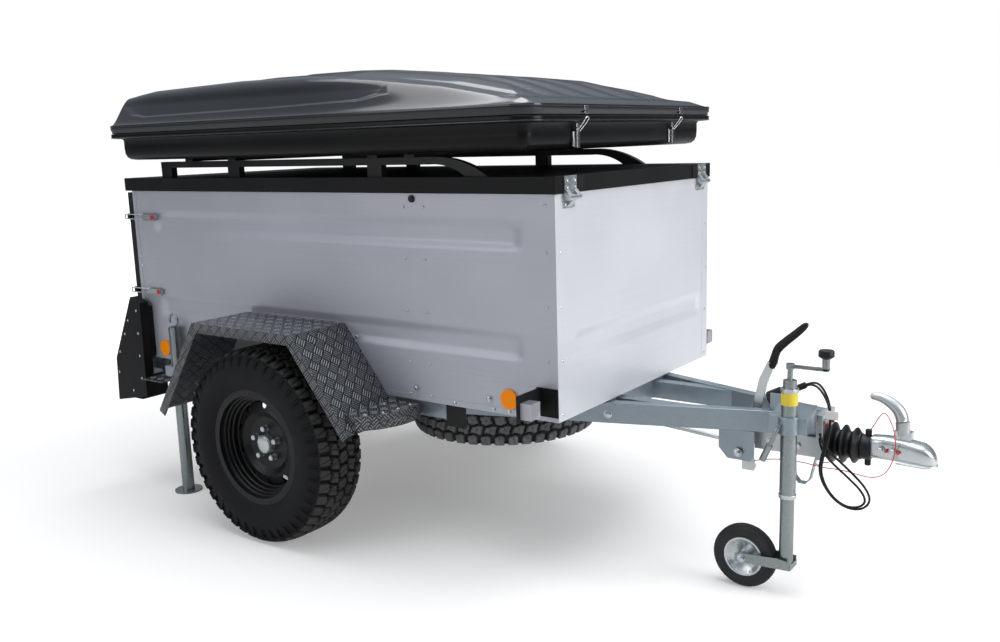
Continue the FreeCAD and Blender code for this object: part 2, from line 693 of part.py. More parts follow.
def jockey_clamp():
    """Flat clamp on the right drawbar rail that grips the outer tube."""
    rail_y = -rail_outer_y(JOCKEY_X)
    low, top = 512, 565
    plate = sheet_xy([(1634, -rail_outer_y(1634)), (1744, -rail_outer_y(1744)),
                      (1766, JOCKEY_Y + 34), (1766, JOCKEY_Y - 6), (1650, JOCKEY_Y - 6),
                      (1650, JOCKEY_Y + 34)], (low, top))
    grip = rod(at_jockey(low), at_jockey(top), JOCKEY_OUTER + 8)
    body = join(plate, grip).cut(block((1600, 1800), (rail_y, 100), (536, 600)))
    front_plate = block((RAIL_TIP_X, 1800), (-64, 100), (380, 600))
    return body.cut([rod(at_jockey(low - 10), at_jockey(top + 10), JOCKEY_OUTER + 0.02),
                     front_plate])


def clamp_lever():
    screw = rod((1693, -246, 537), (1693, -228, 537), 7)
    arm = rod((1693, -246, 537), (1660, -246, 462), 6)
    grip = rod((1668, -246, 480), (1646, -246, 430), 10)
    return join(screw, arm, grip)


def jockey_spindle():
    """Screw and nut inside the leg."""
    top = JOCKEY_LEG_TOP - 6
    nut = rod(at_jockey(top - 20), at_jockey(top), JOCKEY_BORE - RUNNING_GAP)
    return join(nut, rod(at_jockey(top - 150), at_jockey(top - 20), 9))


def jockey_leg():
    tube = rod(at_jockey(JOCKEY_LEG_BOTTOM), at_jockey(JOCKEY_LEG_TOP), JOCKEY_INNER)
    return tube.cut(rod(at_jockey(JOCKEY_LEG_BOTTOM + 12), at_jockey(JOCKEY_LEG_TOP), JOCKEY_BORE))


def jockey_fork():
    side = (JOCKEY_WHEEL_HALF + 6, JOCKEY_WHEEL_HALF + 10)
    low = 92
    outline = [(JOCKEY_WHEEL_X - 22, 86), (JOCKEY_X + 22, low), (JOCKEY_X + 22, 120),
               (JOCKEY_X - 20, 124), (JOCKEY_WHEEL_X - 22, 114)]
    plates = [sheet_xz(outline, (JOCKEY_Y + side[0], JOCKEY_Y + side[1])),
              sheet_xz(outline, (JOCKEY_Y - side[1], JOCKEY_Y - side[0]))]
    seat = block((JOCKEY_X - 21, JOCKEY_X + 24), (JOCKEY_Y - side[0], JOCKEY_Y + side[0]),
                 (low, JOCKEY_LEG_BOTTOM))
    pin = rod((JOCKEY_WHEEL_X, JOCKEY_Y - side[1] - 6, JOCKEY_WHEEL_RADIUS),
              (JOCKEY_WHEEL_X, JOCKEY_Y + side[1] + 6, JOCKEY_WHEEL_RADIUS), JOCKEY_PIN)
    return join(plates[0], plates[1], seat, pin)


def jockey_place(r, a):
    return V(JOCKEY_WHEEL_X, JOCKEY_Y + a, JOCKEY_WHEEL_RADIUS + r)


JOCKEY_CENTRE = V(JOCKEY_WHEEL_X, JOCKEY_Y, JOCKEY_WHEEL_RADIUS)
JOCKEY_RIM = 62.0


def jockey_tyre():
    half = JOCKEY_WHEEL_HALF
    radius = JOCKEY_WHEEL_RADIUS
    points = [(JOCKEY_RIM, -half + 3), (radius - 16, -half), (radius - 4, -half + 6),
              (radius, -half + 14), (radius, half - 14), (radius - 4, half - 6),
              (radius - 16, half), (JOCKEY_RIM, half - 3)]
    return turned_points(points, jockey_place, JOCKEY_CENTRE, ACROSS)


def jockey_rim():
    half = JOCKEY_WHEEL_HALF
    points = [(JOCKEY_PIN + RUNNING_GAP, -half - 5), (15, -half - 5), (15, -6), (44, -10),
              (56, -half + 2), (JOCKEY_RIM - 0.1, -half + 2), (JOCKEY_RIM - 0.1, half - 2),
              (56, half - 2), (44, -4), (15, 2), (15, half + 5),
              (JOCKEY_PIN + RUNNING_GAP, half + 5)]
    return turned_points(points, jockey_place, JOCKEY_CENTRE, ACROSS)


# ---- lid and its hinges ----------------------------------------------------------------------------------
def lid_panel():
    outer = block((LID_REAR, LID_FRONT), (-LID_HALF, LID_HALF), (LID_BOTTOM, LID_TOP))
    inner = block((LID_REAR + LID_RIM, LID_FRONT - LID_RIM),
                  (-LID_HALF + LID_RIM, LID_HALF - LID_RIM), (LID_BOTTOM - 1, LID_TOP - LID_SKIN))
    return outer.cut(inner)


HINGE_Y = 465.0


def hinge_lower():
    """Leaf on the front wall with the middle knuckle."""
    x, z = LID_PIVOT
    leaf = block((BODY_FRONT, BODY_FRONT + 4), (HINGE_Y - 34, HINGE_Y + 34), (1188, z - 12))
    web = sheet_xz([(BODY_FRONT + 4, 1192), (BODY_FRONT + 4, z - 12), (x - 6, z - 4), (x + 5, z - 6)],
                   (HINGE_Y - 13, HINGE_Y + 13))
    knuckle = rod((x, HINGE_Y - 13, z), (x, HINGE_Y + 13, z), 9)
    return join(leaf, web, knuckle).cut(
        rod((x, HINGE_Y - 20, z), (x, HINGE_Y + 20, z), 4 + RUNNING_GAP))


def hinge_upper():
    """Strap on the lid's rim with the two outer knuckles and the pin."""
    x, z = LID_PIVOT
    strap = block((LID_FRONT, LID_FRONT + 4), (HINGE_Y - 34, HINGE_Y + 34), (LID_BOTTOM, LID_TOP))
    pieces = [rod((x, HINGE_Y - 32, z), (x, HINGE_Y + 32, z), 4)]
    for low in (HINGE_Y - 33, HINGE_Y + 14):
        pieces.append(rod((x, low, z), (x, low + 19, z), 9))
        pieces.append(sheet_xz([(LID_FRONT, LID_BOTTOM + 14), (LID_FRONT, LID_BOTTOM),
                                (x - 8, z + 3), (x + 7, z + 5), (LID_FRONT + 4, LID_BOTTOM + 14)],
                               (low, low + 19)))
    return join(strap, *pieces)


# ---- tailgate ----------------------------------------------------------------------------------------------
def tailgate_panel():
    return block(TAILGATE_X, (-BODY_HALF, BODY_HALF), TAILGATE_Z)


def tailgate_hinge(parts):
    """Two butt hinges along the lower edge; parts picks the fixed or the moving leaf."""
    x, z = TAILGATE_PIVOT
    leaves = []
    for y in (-330.0, 330.0):
        if parts == "moving":
            leaf = block((x - 2, TAILGATE_X[0]), (y - 30, y + 30), (TAILGATE_Z[0] + 8, TAILGATE_Z[0] + 48))
            barrel = rod((x, y - 30, z), (x, y - 2, z), 7)
            tie = block((x - 2, x + 5), (y - 30, y - 2), (z + 4, TAILGATE_Z[0] + 10))
            pin = rod((x, y - 30, z), (x, y + 28, z), 3.5)
            leaves.append(join(leaf, barrel, tie, pin))
        else:
            barrel = rod((x, y + 2, z), (x, y + 30, z), 7)
            tie = block((x - 4, x + 4), (y + 2, y + 30), (RAIL_TOP - 30, z - 2))
            bore = rod((x, y, z), (x, y + 32, z), 3.5 + RUNNING_GAP)
            leaves.append(join(barrel, tie).cut(bore))
    return group(*leaves)


def keeper(z):
    """Block on the tailgate's edge that a side latch's bail closes over."""
    return block((TAILGATE_X[0] + 2, TAILGATE_X[0] + 16), (BODY_HALF, BODY_HALF + 13),
                 (z - 12, z + 12))


def side_latch(z):
    """Over-centre latch: base, lever and wire bail reaching over the tailgate's keeper."""
    y = BODY_HALF
    base = block((-868, -792), (y, y + 4), (z - 15, z + 15))
    lever = block((-862, -776), (y + 4, y + 17), (z - 10, z + 10))
    wires = []
    for dz in (-9, 9):
        wires.append(rod((-850, y + 16.5, z + dz), (TAILGATE_X[0] - 6, y + 16.5, z + dz), 2))
    wires.append(rod((TAILGATE_X[0] - 6, y + 16.5, z - 11), (TAILGATE_X[0] - 6, y + 16.5, z + 11), 2))
    return join(base, lever, *wires)


# ---- roof rack and tent ---------------------------------------------------------------------------------------
def roof_rail():
    """Side rail on four feet; its front foot sweeps down in a curve."""
    y = (RACK_Y - RACK_WIDTH / 2, RACK_Y + RACK_WIDTH / 2)
    bar = block((-745, 640), y, RACK_BAR)
    feet = [block((x - 32, x + 32), y, (LID_TOP, RACK_BAR[0])) for x in (-712, -310, 400)]

    def at(x, z):
        return V(x, y[0], z)

    outer = Part.Arc(at(640, RACK_BAR[1]), at(768, 1330), at(868, LID_TOP)).toShape()
    foot = Part.LineSegment(at(868, LID_TOP), at(780, LID_TOP)).toShape()
    inner = Part.Arc(at(780, LID_TOP), at(722, 1312), at(640, RACK_BAR[0])).toShape()
    back = Part.LineSegment(at(640, RACK_BAR[0]), at(640, RACK_BAR[1])).toShape()
    sweep = Part.Face(Part.Wire([outer, foot, inner, back])).extrude(V(0, RACK_WIDTH, 0))
    return join(bar, sweep, *feet)


def cross_bars():
    bars = [block((x - 22, x + 22), (-RACK_Y - 20, RACK_Y + 20), (RACK_BAR[1], CROSS_BAR_TOP))
            for x in (-560, -310, 400, 560)]
    return group(*bars)


def rounded_plan(x, half, radius, z):
    """Face with round corners, in plan, at height z."""
    (x0, x1), r = x, radius
    k = r * (1 - math.sqrt(0.5))
    corners = [((x1, -half + r), (x1 - k, -half + k), (x1 - r, -half)),
               ((x0 + r, -half), (x0 + k, -half + k), (x0, -half + r)),
               ((x0, half - r), (x0 + k, half - k), (x0 + r, half)),
               ((x1 - r, half), (x1 - k, half - k), (x1, half - r))]
    edges = []
    for j, (start, mid, end) in enumerate(corners):
        a, b, c = (V(p[0], p[1], z) for p in (start, mid, end))
        edges.append(Part.Arc(a, b, c).toShape())
        following = corners[(j + 1) % 4][0]
        edges.append(Part.LineSegment(c, V(following[0], following[1], z)).toShape())
    return Part.Wire(edges)


def slab(x, half, radius, z):
    return Part.Face(rounded_plan(x, half, radius, z[0])).extrude(V(0, 0, z[1] - z[0]))


def tent_tray():
    """Lower shell: floor pan on the cross bars with an outward flange at the seam."""
    pan_x = (TENT_REAR + TRAY_INSET, TENT_FRONT - TRAY_INSET)
    pan_half = TENT_HALF - TRAY_INSET
    pan = slab(pan_x, pan_half, TENT_CORNER, (CROSS_BAR_TOP, TRAY_FLANGE[1]))
    flange = slab((TENT_REAR, TENT_FRONT), TENT_HALF, TENT_CORNER, TRAY_FLANGE)
    hollow = slab((pan_x[0] + TENT_WALL, pan_x[1] - TENT_WALL), pan_half - TENT_WALL,
                  TENT_CORNER - TENT_WALL, (CROSS_BAR_TOP + TENT_WALL, TRAY_FLANGE[1] + 1))
    return join(pan, flange).cut(hollow)


# Stations along the tent: place, height where the side turns into the roof, height of the crown.
TENT_STATIONS = [(TENT_REAR, 1592.0, 1604.0), (-700.0, 1618.0, 1640.0), (-200.0, 1628.0, 1656.0),
                 (150.0, 1624.0, 1653.0), (510.0, 1592.0, 1625.0), (720.0, 1566.0, 1600.0),
                 (950.0, 1522.0, 1548.0), (TENT_FRONT, 1510.0, 1522.0)]


def tent_section(x, shoulder, crown, inset, drop):
    """Cross-section of the upper shell as a closed wire at one station."""
    half = TENT_HALF - inset
    top = [(-half, TENT_SEAM + REST_GAP - (1 if drop else 0)), (-half, 1492 - drop),
           (-half + 14, 1496 - drop), (-half + 60, shoulder - drop), (-half + 260, crown - drop),
           (half - 260, crown - drop), (half - 60, shoulder - drop), (half - 14, 1496 - drop),
           (half, 1492 - drop), (half, TENT_SEAM + REST_GAP - (1 if drop else 0))]
    return Part.makePolygon([V(x, py, pz) for py, pz in top + top[:1]])


def tent_shell():
    """Upper shell: hollow clamshell that follows the crowned roof line."""
    outer = Part.makeLoft([tent_section(x, s, c, 0, 0) for x, s, c in TENT_STATIONS], True, True)
    first, last = TENT_STATIONS[0], TENT_STATIONS[-1]
    stations = [(first[0] + TENT_WALL,) + first[1:]] + TENT_STATIONS[1:-1]
    stations.append((last[0] - TENT_WALL,) + last[1:])
    inner = Part.makeLoft([tent_section(x, s, c, TENT_WALL, TENT_WALL) for x, s, c in stations],
                          True, True)
    trim = slab((TENT_REAR, TENT_FRONT), TENT_HALF, TENT_CORNER, (TENT_SEAM - 20, 1800))
    return outer.common(trim).cut(inner)


def tent_latch(y):
    """Toggle latch on the tray's front face, under the flange."""
    x = TENT_FRONT - TRAY_INSET
    base = block((x, x + 6), (y - 14, y + 14), (1366, 1412))
    lever = block((x + 6, x + 16), (y - 8, y + 8), (1362, 1436))
    return join(base, lever)


def tent_hinge(parts):
    x, z = TENT_PIVOT
    leaves = []
    for y in (-400.0, 400.0):
        if parts == "moving":
            barrel = rod((x, y - 28, z), (x, y - 2, z), 6)
            strap = block((x - 4, TENT_REAR), (y - 28, y - 2), (z, TENT_SEAM + 30))
            pin = rod((x, y - 28, z), (x, y + 26, z), 3)
            leaves.append(join(barrel, strap, pin))
        else:
            barrel = rod((x, y + 2, z), (x, y + 28, z), 6)
            strap = block((x - 4, TENT_REAR), (y + 2, y + 28), (TRAY_FLANGE[0], z))
            leaves.append(join(barrel, strap).cut(rod((x, y, z), (x, y + 30, z), 3 + RUNNING_GAP)))
    return group(*leaves)


# ---- free cables ------------------------------------------------------------------------------------------------
def cord_path(points):
    """Straight runs joined by tangent arcs whose radius is as large as the two runs allow."""
    corners = [V(*p) for p in points]
    edges, radii = [], []
    start = corners[0]
    for before, corner, after in zip(corners, corners[1:], corners[2:]):
        a, b = before - corner, after - corner
        short = min(a.Length, b.Length)
        a, b = V(a).normalize(), V(b).normalize()
        half_turn = (math.pi - a.getAngle(b)) / 2
        cut = 0.45 * short
        radius = cut / math.tan(half_turn)
        enter, leave = corner + a * cut, corner + b * cut
        inward = (a + b).normalize()
        middle = corner + inward * (radius / math.cos(half_turn) - radius)
        edges.append(Part.LineSegment(start, enter).toShape())
        edges.append(Part.Arc(enter, middle, leave).toShape())
        radii.append(radius)
        start = leave
    edges.append(Part.LineSegment(start, corners[-1]).toShape())
    return Part.Wire(edges), radii


def cord(name, points, radius):
    path, radii = cord_path(points)
    first = (V(*points[1]) - V(*points[0])).normalize()
    ring = Part.Wire(Part.makeCircle(radius, V(*points[0]), first))
    tube = path.makePipeShell([ring], True, True)
    expected = math.pi * radius ** 2 * path.Length
    print(name, "length", round(path.Length), "volume ratio", round(tube.Volume / expected, 4))
    print("  radii", [round(r) for r in radii])
    save(name, tube)


PLUG_RADIUS = 25.0
PLUG_AXIS = ((1588.0, -31.0, 560.0), (1700.0, -31.0, 619.0))
LIGHT_CABLE_RADIUS = 3.5
OUTER_CABLE = [(1757, -60, 478), (1768, -78, 462), (1790, -82, 436), (1824, -80, 408),
               (1866, -76, 372), (1902, -70, 334), (1918, -68, 296), (1896, -66, 264),
               (1852, -66, 256), (1808, -68, 278), (1776, -74, 322), (1764, -84, 372),
               (1776, -95, 424), (1790, -98, 474), (1797, -92, 524), (1792, -78, 574),
               (1768, -60, 618), (1732, -38, 638), (1700, -27, 619)]
INNER_CABLE = [(1757, -60, 464), (1764, -78, 447), (1782, -84, 421), (1812, -82, 392),
               (1852, -76, 358), (1887, -69, 324), (1904, -67, 292), (1886, -65, 268),
               (1848, -76, 265), (1810, -80, 288), (1784, -86, 328), (1773, -94, 374),
               (1784, -105, 424), (1797, -108, 474), (1801, -102, 522), (1794, -88, 570),
               (1767, -70, 611), (1731, -50, 632), (1700, -35, 619)]
BREAK_CABLE_RADIUS = 1.5
BREAK_CABLE = [(1537, -35, 348), (1585, -35, 362), (1640, -34, 370), (1700, -34, 370),
               (1760, -42, 366), (1820, -52, 372), (1872, -52, 366), (1915, -48, 360),
               (1950, -46, 378), (1970, -46, 420), (1977, -46, 468), (1970, -42, 514),
               (1950, -26, 548), (1928, 4, 556), (1906, 34, 530), (1884, 58, 490),
               (1852, 72, 444), (1818, 72, 400), (1780, 68, 366), (1745, 63, 347),
               (1726, 62, 345)]
HOOK_CENTRE = (1716.0, STRAP_Y[1] + 1.9, 345.0)


def connector_plug():
    a, b = (V(*p) for p in PLUG_AXIS)
    way = (b - a).normalize()
    body = Part.makeCylinder(PLUG_RADIUS, 44, a, way)
    neck = Part.makeCylinder(20, 34, a + way * 44, way)
    end = Part.makeCylinder(10, (b - a).Length - 78, a + way * 78, way)
    return join(body, neck, end)


def plug_holder():
    """Upright plate on the right drawbar rail against which the plug is parked."""
    y = PLUG_AXIS[0][1] - PLUG_RADIUS
    return block((1600, 1636), (y - 8, y), (RAIL_TOP, 588))


def cable_hook():
    """Ring hook on the end of the breakaway cable, hung on the safety strap."""
    return Part.makeTorus(9, 2, V(*HOOK_CENTRE), ACROSS)


# ---- build -----------------------------------------------------------------------------------------------------------
def both(shape):
    """A piece and its mirror image."""
    return [shape, mirrored(shape)]


save("floor_panel", floor_panel())
save_pair("side_wall", side_wall())
save("front_wall", front_wall())
save("drawbar_rails", group(*both(drawbar_rail())))
save("side_rails", group(*both(join(side_rail(), stand_clamp()))))
front_frame = join(front_cross_member(), *both(inner_rail()))
save("cross_members", group(front_frame, rear_cross_member()))
save("axle_beam", axle_beam())
save("swing_arms", group(*both(join(swing_arm(), brake_plate()))))
save_pair("tyre", road_tyre())
save_pair("rim", road_rim())
save_pair("hub", hub())
save("spare_tyre", spare_tyre())
save("spare_rim", spare_rim())
save("spare_carrier", group(spare_carrier(), spare_bracket()))
save_pair("mudguard", mudguard())
save("tread_steps", group(*both(front_step()), *both(rear_step())))
save("tail_lamps", group(*both(tail_lamp())))
save("lamp_brackets", group(*both(light_box()), *both(marker_bracket())))
save("marker_lamps", group(*both(marker_lamp())))
reflectors = [side_reflector(938, 593), side_reflector(-796, 588)]
save("side_reflectors", group(*[piece for r in reflectors for piece in both(r)]))
save_pair("rear_stand", rear_stand())
save("overrun_housing", overrun_housing())
save("bellows", join(bellows(), collar()))
save("coupling_head", join(coupling_head(), drawbar_shaft()))
save("coupling_handle", coupling_handle())
save("handbrake_lever", join(handbrake_lever(), brake_rod()))
save("handbrake_grip", handbrake_grip())
save("handbrake_bracket", handbrake_bracket())
save("drawbar_brackets", group(safety_strap(), plug_holder()))
save("jockey_outer_tube", jockey_outer_tube())
save("jockey_crank", jockey_crank())
save("jockey_clamp", jockey_clamp())
save("clamp_lever", clamp_lever())
save("jockey_spindle", jockey_spindle())
save("jockey_leg", jockey_leg())
save("jockey_fork", jockey_fork())
save("jockey_tyre", jockey_tyre())
save("jockey_rim", jockey_rim())
save("lid_panel", lid_panel())
save("fixed_hinge_leaves", group(*both(hinge_lower()), *tailgate_hinge("fixed").Solids))
save("lid_hinge_straps", group(*both(hinge_upper())))
keepers = [piece for z in LATCH_Z for piece in both(keeper(z))]
save("tailgate_panel", join(tailgate_panel(), *keepers))
save("tailgate_hinge_leaves", tailgate_hinge("moving"))
save("side_latches", group(*[piece for z in LATCH_Z for piece in both(side_latch(z))]))
save("roof_rails", group(*both(roof_rail())))
save("cross_bars", cross_bars())
save("tent_tray", join(tent_tray(), *tent_hinge("fixed").Solids))
save("tent_shell", join(tent_shell(), *tent_hinge("moving").Solids))
save("tent_latches", group(tent_latch(-330), tent_latch(330)))
save("connector_plug", connector_plug())
save("cable_hook", cable_hook())
cord("light_cable_outer", OUTER_CABLE, LIGHT_CABLE_RADIUS)
cord("light_cable_inner", INNER_CABLE, LIGHT_CABLE_RADIUS)
cord("breakaway_cable", BREAK_CABLE, BREAK_CABLE_RADIUS)
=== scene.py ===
import json
import math

import bmesh
import bpy
import numpy as np
from mathutils import Matrix, Vector


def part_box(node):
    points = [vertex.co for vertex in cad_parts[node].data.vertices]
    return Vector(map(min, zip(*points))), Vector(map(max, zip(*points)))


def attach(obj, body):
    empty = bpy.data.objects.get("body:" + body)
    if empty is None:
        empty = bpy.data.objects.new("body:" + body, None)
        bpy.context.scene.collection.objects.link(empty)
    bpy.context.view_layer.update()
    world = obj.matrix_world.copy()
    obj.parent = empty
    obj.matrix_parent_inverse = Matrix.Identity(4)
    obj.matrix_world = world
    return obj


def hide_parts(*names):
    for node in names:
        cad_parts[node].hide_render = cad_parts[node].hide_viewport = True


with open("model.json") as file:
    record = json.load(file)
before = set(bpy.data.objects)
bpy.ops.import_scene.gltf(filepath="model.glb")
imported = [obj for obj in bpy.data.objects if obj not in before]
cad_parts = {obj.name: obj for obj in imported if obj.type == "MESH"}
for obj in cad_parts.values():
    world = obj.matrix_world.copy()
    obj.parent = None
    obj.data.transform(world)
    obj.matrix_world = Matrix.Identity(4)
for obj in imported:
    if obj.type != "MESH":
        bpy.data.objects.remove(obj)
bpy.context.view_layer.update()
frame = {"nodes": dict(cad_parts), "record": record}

# Folding camper trailer. Metres, +X towards the coupling, +Y to the trailer's left, +Z up.
# Lengths named *_X below are measured from the wheels' axis; at() moves them into the frame.
NODES = frame["nodes"]
RECORD = frame["record"]
BODY_OF = {node: body for body, members in RECORD["behaviour"]["bodies"].items()
           for node in members}
SLOT_OF = {part["node"]: part["material_slot"] for part in RECORD["subparts"]}


def corners(node):
    """Lowest and highest corner of a CAD node as arrays."""
    low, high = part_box(node)
    return np.array(low), np.array(high)


TYRE_LOW, TYRE_HIGH = corners("tyre_right")
AXLE_X = (TYRE_LOW[0] + TYRE_HIGH[0]) / 2
WHEEL_Z = (TYRE_LOW[2] + TYRE_HIGH[2]) / 2
TYRE_RADIUS = (TYRE_HIGH[2] - TYRE_LOW[2]) / 2
WHEEL_MID_Y = -(TYRE_HIGH[1] + TYRE_LOW[1]) / 2
WALL_LOW, WALL_HIGH = corners("side_wall_left")
BODY_HALF = WALL_HIGH[1]
WALL_THICK = WALL_HIGH[1] - WALL_LOW[1]
LID_LOW, LID_HIGH = corners("lid_panel")
SHELL_LOW, SHELL_HIGH = corners("tent_shell")
TRAY_LOW, TRAY_HIGH = corners("tent_tray")


def at(x, y, z):
    """Point whose x is measured from the wheels' axis."""
    return (AXLE_X + x, y, z)


def link(name, data):
    """New object of data in the scene, at the origin."""
    made = bpy.data.objects.new(name, data)
    bpy.context.collection.objects.link(made)
    return made


# ---- camera ----------------------------------------------------------------------------------
def make_camera():
    """Pin-hole camera from its place, yaw, pitch and roll."""
    yaw, pitch, roll = math.radians(35.7923), math.radians(10.3961), math.radians(-1.7462)
    ahead = Vector((-math.sin(yaw) * math.cos(pitch), math.cos(yaw) * math.cos(pitch),
                    -math.sin(pitch)))
    level = ahead.cross(Vector((0, 0, 1))).normalized()
    rise = level.cross(ahead)
    right = level * math.cos(roll) + rise * math.sin(roll)
    up = rise * math.cos(roll) - level * math.sin(roll)
    data = bpy.data.cameras.new("camera")
    data.sensor_width = 36.0
    data.lens = 35.63
    camera = link("camera", data)
    turn = Matrix((right, up, -ahead)).transposed().to_4x4()
    camera.matrix_world = Matrix.Translation(at(2.6753, -2.9896, 1.3942)) @ turn
    bpy.context.scene.camera = camera


make_camera()


# ---- shader tools ----------------------------------------------------------------------------
def add(tree, kind, inputs=(), **settings):
    """New shader node; inputs maps a socket to a value or to another node's output."""
    made = tree.nodes.new("ShaderNode" + kind)
    for key, value in settings.items():
        setattr(made, key, value)
    for key, value in dict(inputs).items():
        if isinstance(value, bpy.types.NodeSocket):
            tree.links.new(value, made.inputs[key])
        else:
            made.inputs[key].default_value = value
    return made


def calc(tree, operation, first, second=0.0):
    """One arithmetic node; either value may be a number or another node's output."""
    return add(tree, "Math", {0: first, 1: second}, operation=operation).outputs[0]


def spread(tree, value, low, high, source=(0.3, 0.7)):
    """value's source range stretched over low to high."""
    return add(tree, "MapRange", {"Value": value, "From Min": source[0], "From Max": source[1],
                                  "To Min": low, "To Max": high}).outputs[0]


def new_group(name, inputs, outputs):
    """Empty node group with its sockets: (label, kind, value) inputs, (label, kind) outputs."""
    tree = bpy.data.node_groups.new(name, "ShaderNodeTree")
    for label, kind, value in inputs:
        socket = tree.interface.new_socket(label, in_out="INPUT", socket_type=kind)
        if value is not None:
            socket.default_value = value
    for label, kind in outputs:
        tree.interface.new_socket(label, in_out="OUTPUT", socket_type=kind)
    return tree, tree.nodes.new("NodeGroupInput"), tree.nodes.new("NodeGroupOutput")


FLOAT, VECTOR = "NodeSocketFloat", "NodeSocketVector"


def speckle_group():
    """Two noises, coarse and fine: a slow tone, a roughness between two ends, and a height."""
    tree, source, sink = new_group(
        "speckle", [("Vector", VECTOR, None), ("Coarse", FLOAT, 6.0), ("Fine", FLOAT, 300.0),
                    ("Low", FLOAT, 0.3), ("High", FLOAT, 0.4)],
        [("Tone", FLOAT), ("Roughness", FLOAT), ("Height", FLOAT)])
    slow = add(tree, "TexNoise", {"Vector": source.outputs["Vector"],
                                  "Scale": source.outputs["Coarse"], "Detail": 5.0})
    quick = add(tree, "TexNoise", {"Vector": source.outputs["Vector"],
                                   "Scale": source.outputs["Fine"], "Detail": 2.0})
    span = calc(tree, "SUBTRACT", source.outputs["High"], source.outputs["Low"])
    share = spread(tree, slow.outputs["Fac"], 0.0, 1.0)
    rough = calc(tree, "ADD", source.outputs["Low"], calc(tree, "MULTIPLY", span, share))
    tree.links.new(share, sink.inputs["Tone"])
    tree.links.new(rough, sink.inputs["Roughness"])
    tree.links.new(quick.outputs["Fac"], sink.inputs["Height"])
    return tree


def spangle_group():
    """Zinc crystals: the cells of a Voronoi pattern, each with its own shade."""
    tree, source, sink = new_group(
        "spangle", [("Vector", VECTOR, None), ("Scale", FLOAT, 60.0)], [("Shade", FLOAT)])
    cells = add(tree, "TexVoronoi", {"Vector": source.outputs["Vector"],
                                     "Scale": source.outputs["Scale"], "Randomness": 1.0})
    shade = add(tree, "SeparateColor", {"Color": cells.outputs["Color"]}).outputs[0]
    tree.links.new(shade, sink.inputs["Shade"])
    return tree


def brushed_group():
    """Rolled sheet: noise drawn out along one direction of the stretched vector."""
    tree, source, sink = new_group(
        "brushed", [("Vector", VECTOR, None), ("Stretch", VECTOR, (1.0, 1.0, 80.0))],
        [("Streak", FLOAT)])
    drawn = add(tree, "VectorMath", {0: source.outputs["Vector"], 1: source.outputs["Stretch"]},
                operation="MULTIPLY")
    noise = add(tree, "TexNoise", {"Vector": drawn.outputs[0], "Scale": 4.0, "Detail": 6.0})
    tree.links.new(noise.outputs["Fac"], sink.inputs["Streak"])
    return tree


def chequer_group():
    """Four-bar chequer plate: square cells turned by 45 degrees, each with four raised bars, and
    the bars of neighbouring cells at right angles. A bar's height is a rounded step in both
    directions of its cell."""
    tree, source, sink = new_group(
        "chequer_plate", [("Vector", VECTOR, None), ("Cell", FLOAT, 0.028)], [("Height", FLOAT)])
    turned = add(tree, "VectorRotate", {"Vector": source.outputs["Vector"],
                                        "Angle": math.radians(45)}, rotation_type="Z_AXIS")
    parts = add(tree, "SeparateXYZ", {"Vector": turned.outputs[0]})
    u = calc(tree, "DIVIDE", parts.outputs[0], source.outputs["Cell"])
    v = calc(tree, "DIVIDE", parts.outputs[1], source.outputs["Cell"])
    both = calc(tree, "ADD", calc(tree, "FLOOR", u), calc(tree, "FLOOR", v))
    odd = calc(tree, "FLOORED_MODULO", both, 2.0)
    fu, fv = calc(tree, "FRACT", u), calc(tree, "FRACT", v)

    def choose(a, b):
        return add(tree, "Mix", {0: odd, 2: a, 3: b}, data_type="FLOAT").outputs[0]

    along, across = choose(fu, fv), choose(fv, fu)
    middle = calc(tree, "ABSOLUTE", calc(tree, "SUBTRACT", along, 0.5))
    length = spread(tree, middle, 1.0, 0.0, (0.34, 0.44))
    bar = calc(tree, "FRACT", calc(tree, "MULTIPLY", across, 4.0))
    offset = calc(tree, "ABSOLUTE", calc(tree, "SUBTRACT", bar, 0.5))
    width = spread(tree, offset, 1.0, 0.0, (0.10, 0.36))
    tree.links.new(calc(tree, "MULTIPLY", length, width), sink.inputs["Height"])
    return tree


GROUPS = {"speckle": speckle_group(), "spangle": spangle_group(), "brushed": brushed_group(),
          "chequer": chequer_group()}


def use(tree, name, **inputs):
    """One of the shared effects as a node of this tree."""
    return add(tree, "Group", inputs, node_tree=GROUPS[name])


def blank(name, fixed):
    """Material with a Principled shader whose constant sockets are given in fixed."""
    material = bpy.data.materials.new(name)
    material.use_nodes = True
    tree = material.node_tree
    shader = tree.nodes["Principled BSDF"]
    for key, value in fixed.items():
        shader.inputs[key].default_value = value
    place = add(tree, "TexCoord").outputs["Object"]
    return material, tree, shader, place


def tint(tree, factor, dark, light):
    """Colour that runs from dark to light with factor."""
    return add(tree, "Mix", {0: factor, 6: (*dark, 1), 7: (*light, 1)},
               data_type="RGBA").outputs[2]


def raise_surface(tree, shader, height, strength, depth):
    """Surface relief from a height between 0 and 1."""
    bump = add(tree, "Bump", {"Height": height, "Strength": strength, "Distance": depth})
    tree.links.new(bump.outputs[0], shader.inputs["Normal"])


def speckled(name, fixed, coarse, fine, rough):
    """Material whose roughness follows the speckle effect, together with its tree, shader,
    position socket and speckle node."""
    material, tree, shader, place = blank(name, fixed)
    spots = use(tree, "speckle", Vector=place, Coarse=coarse, Fine=fine, Low=rough[0],
                High=rough[1])
    tree.links.new(spots.outputs["Roughness"], shader.inputs["Roughness"])
    return material, tree, shader, place, spots


def coated(name, dark, light, rough, grain, bump=(0.15, 0.0004), **fixed):
    """Paint, plastic or rubber: slow tone change, uneven gloss and a fine surface texture."""
    material, tree, shader, _, spots = speckled(name, fixed, *grain, rough)
    tree.links.new(tint(tree, spots.outputs["Tone"], dark, light), shader.inputs["Base Color"])
    raise_surface(tree, shader, spots.outputs["Height"], *bump)
    return material


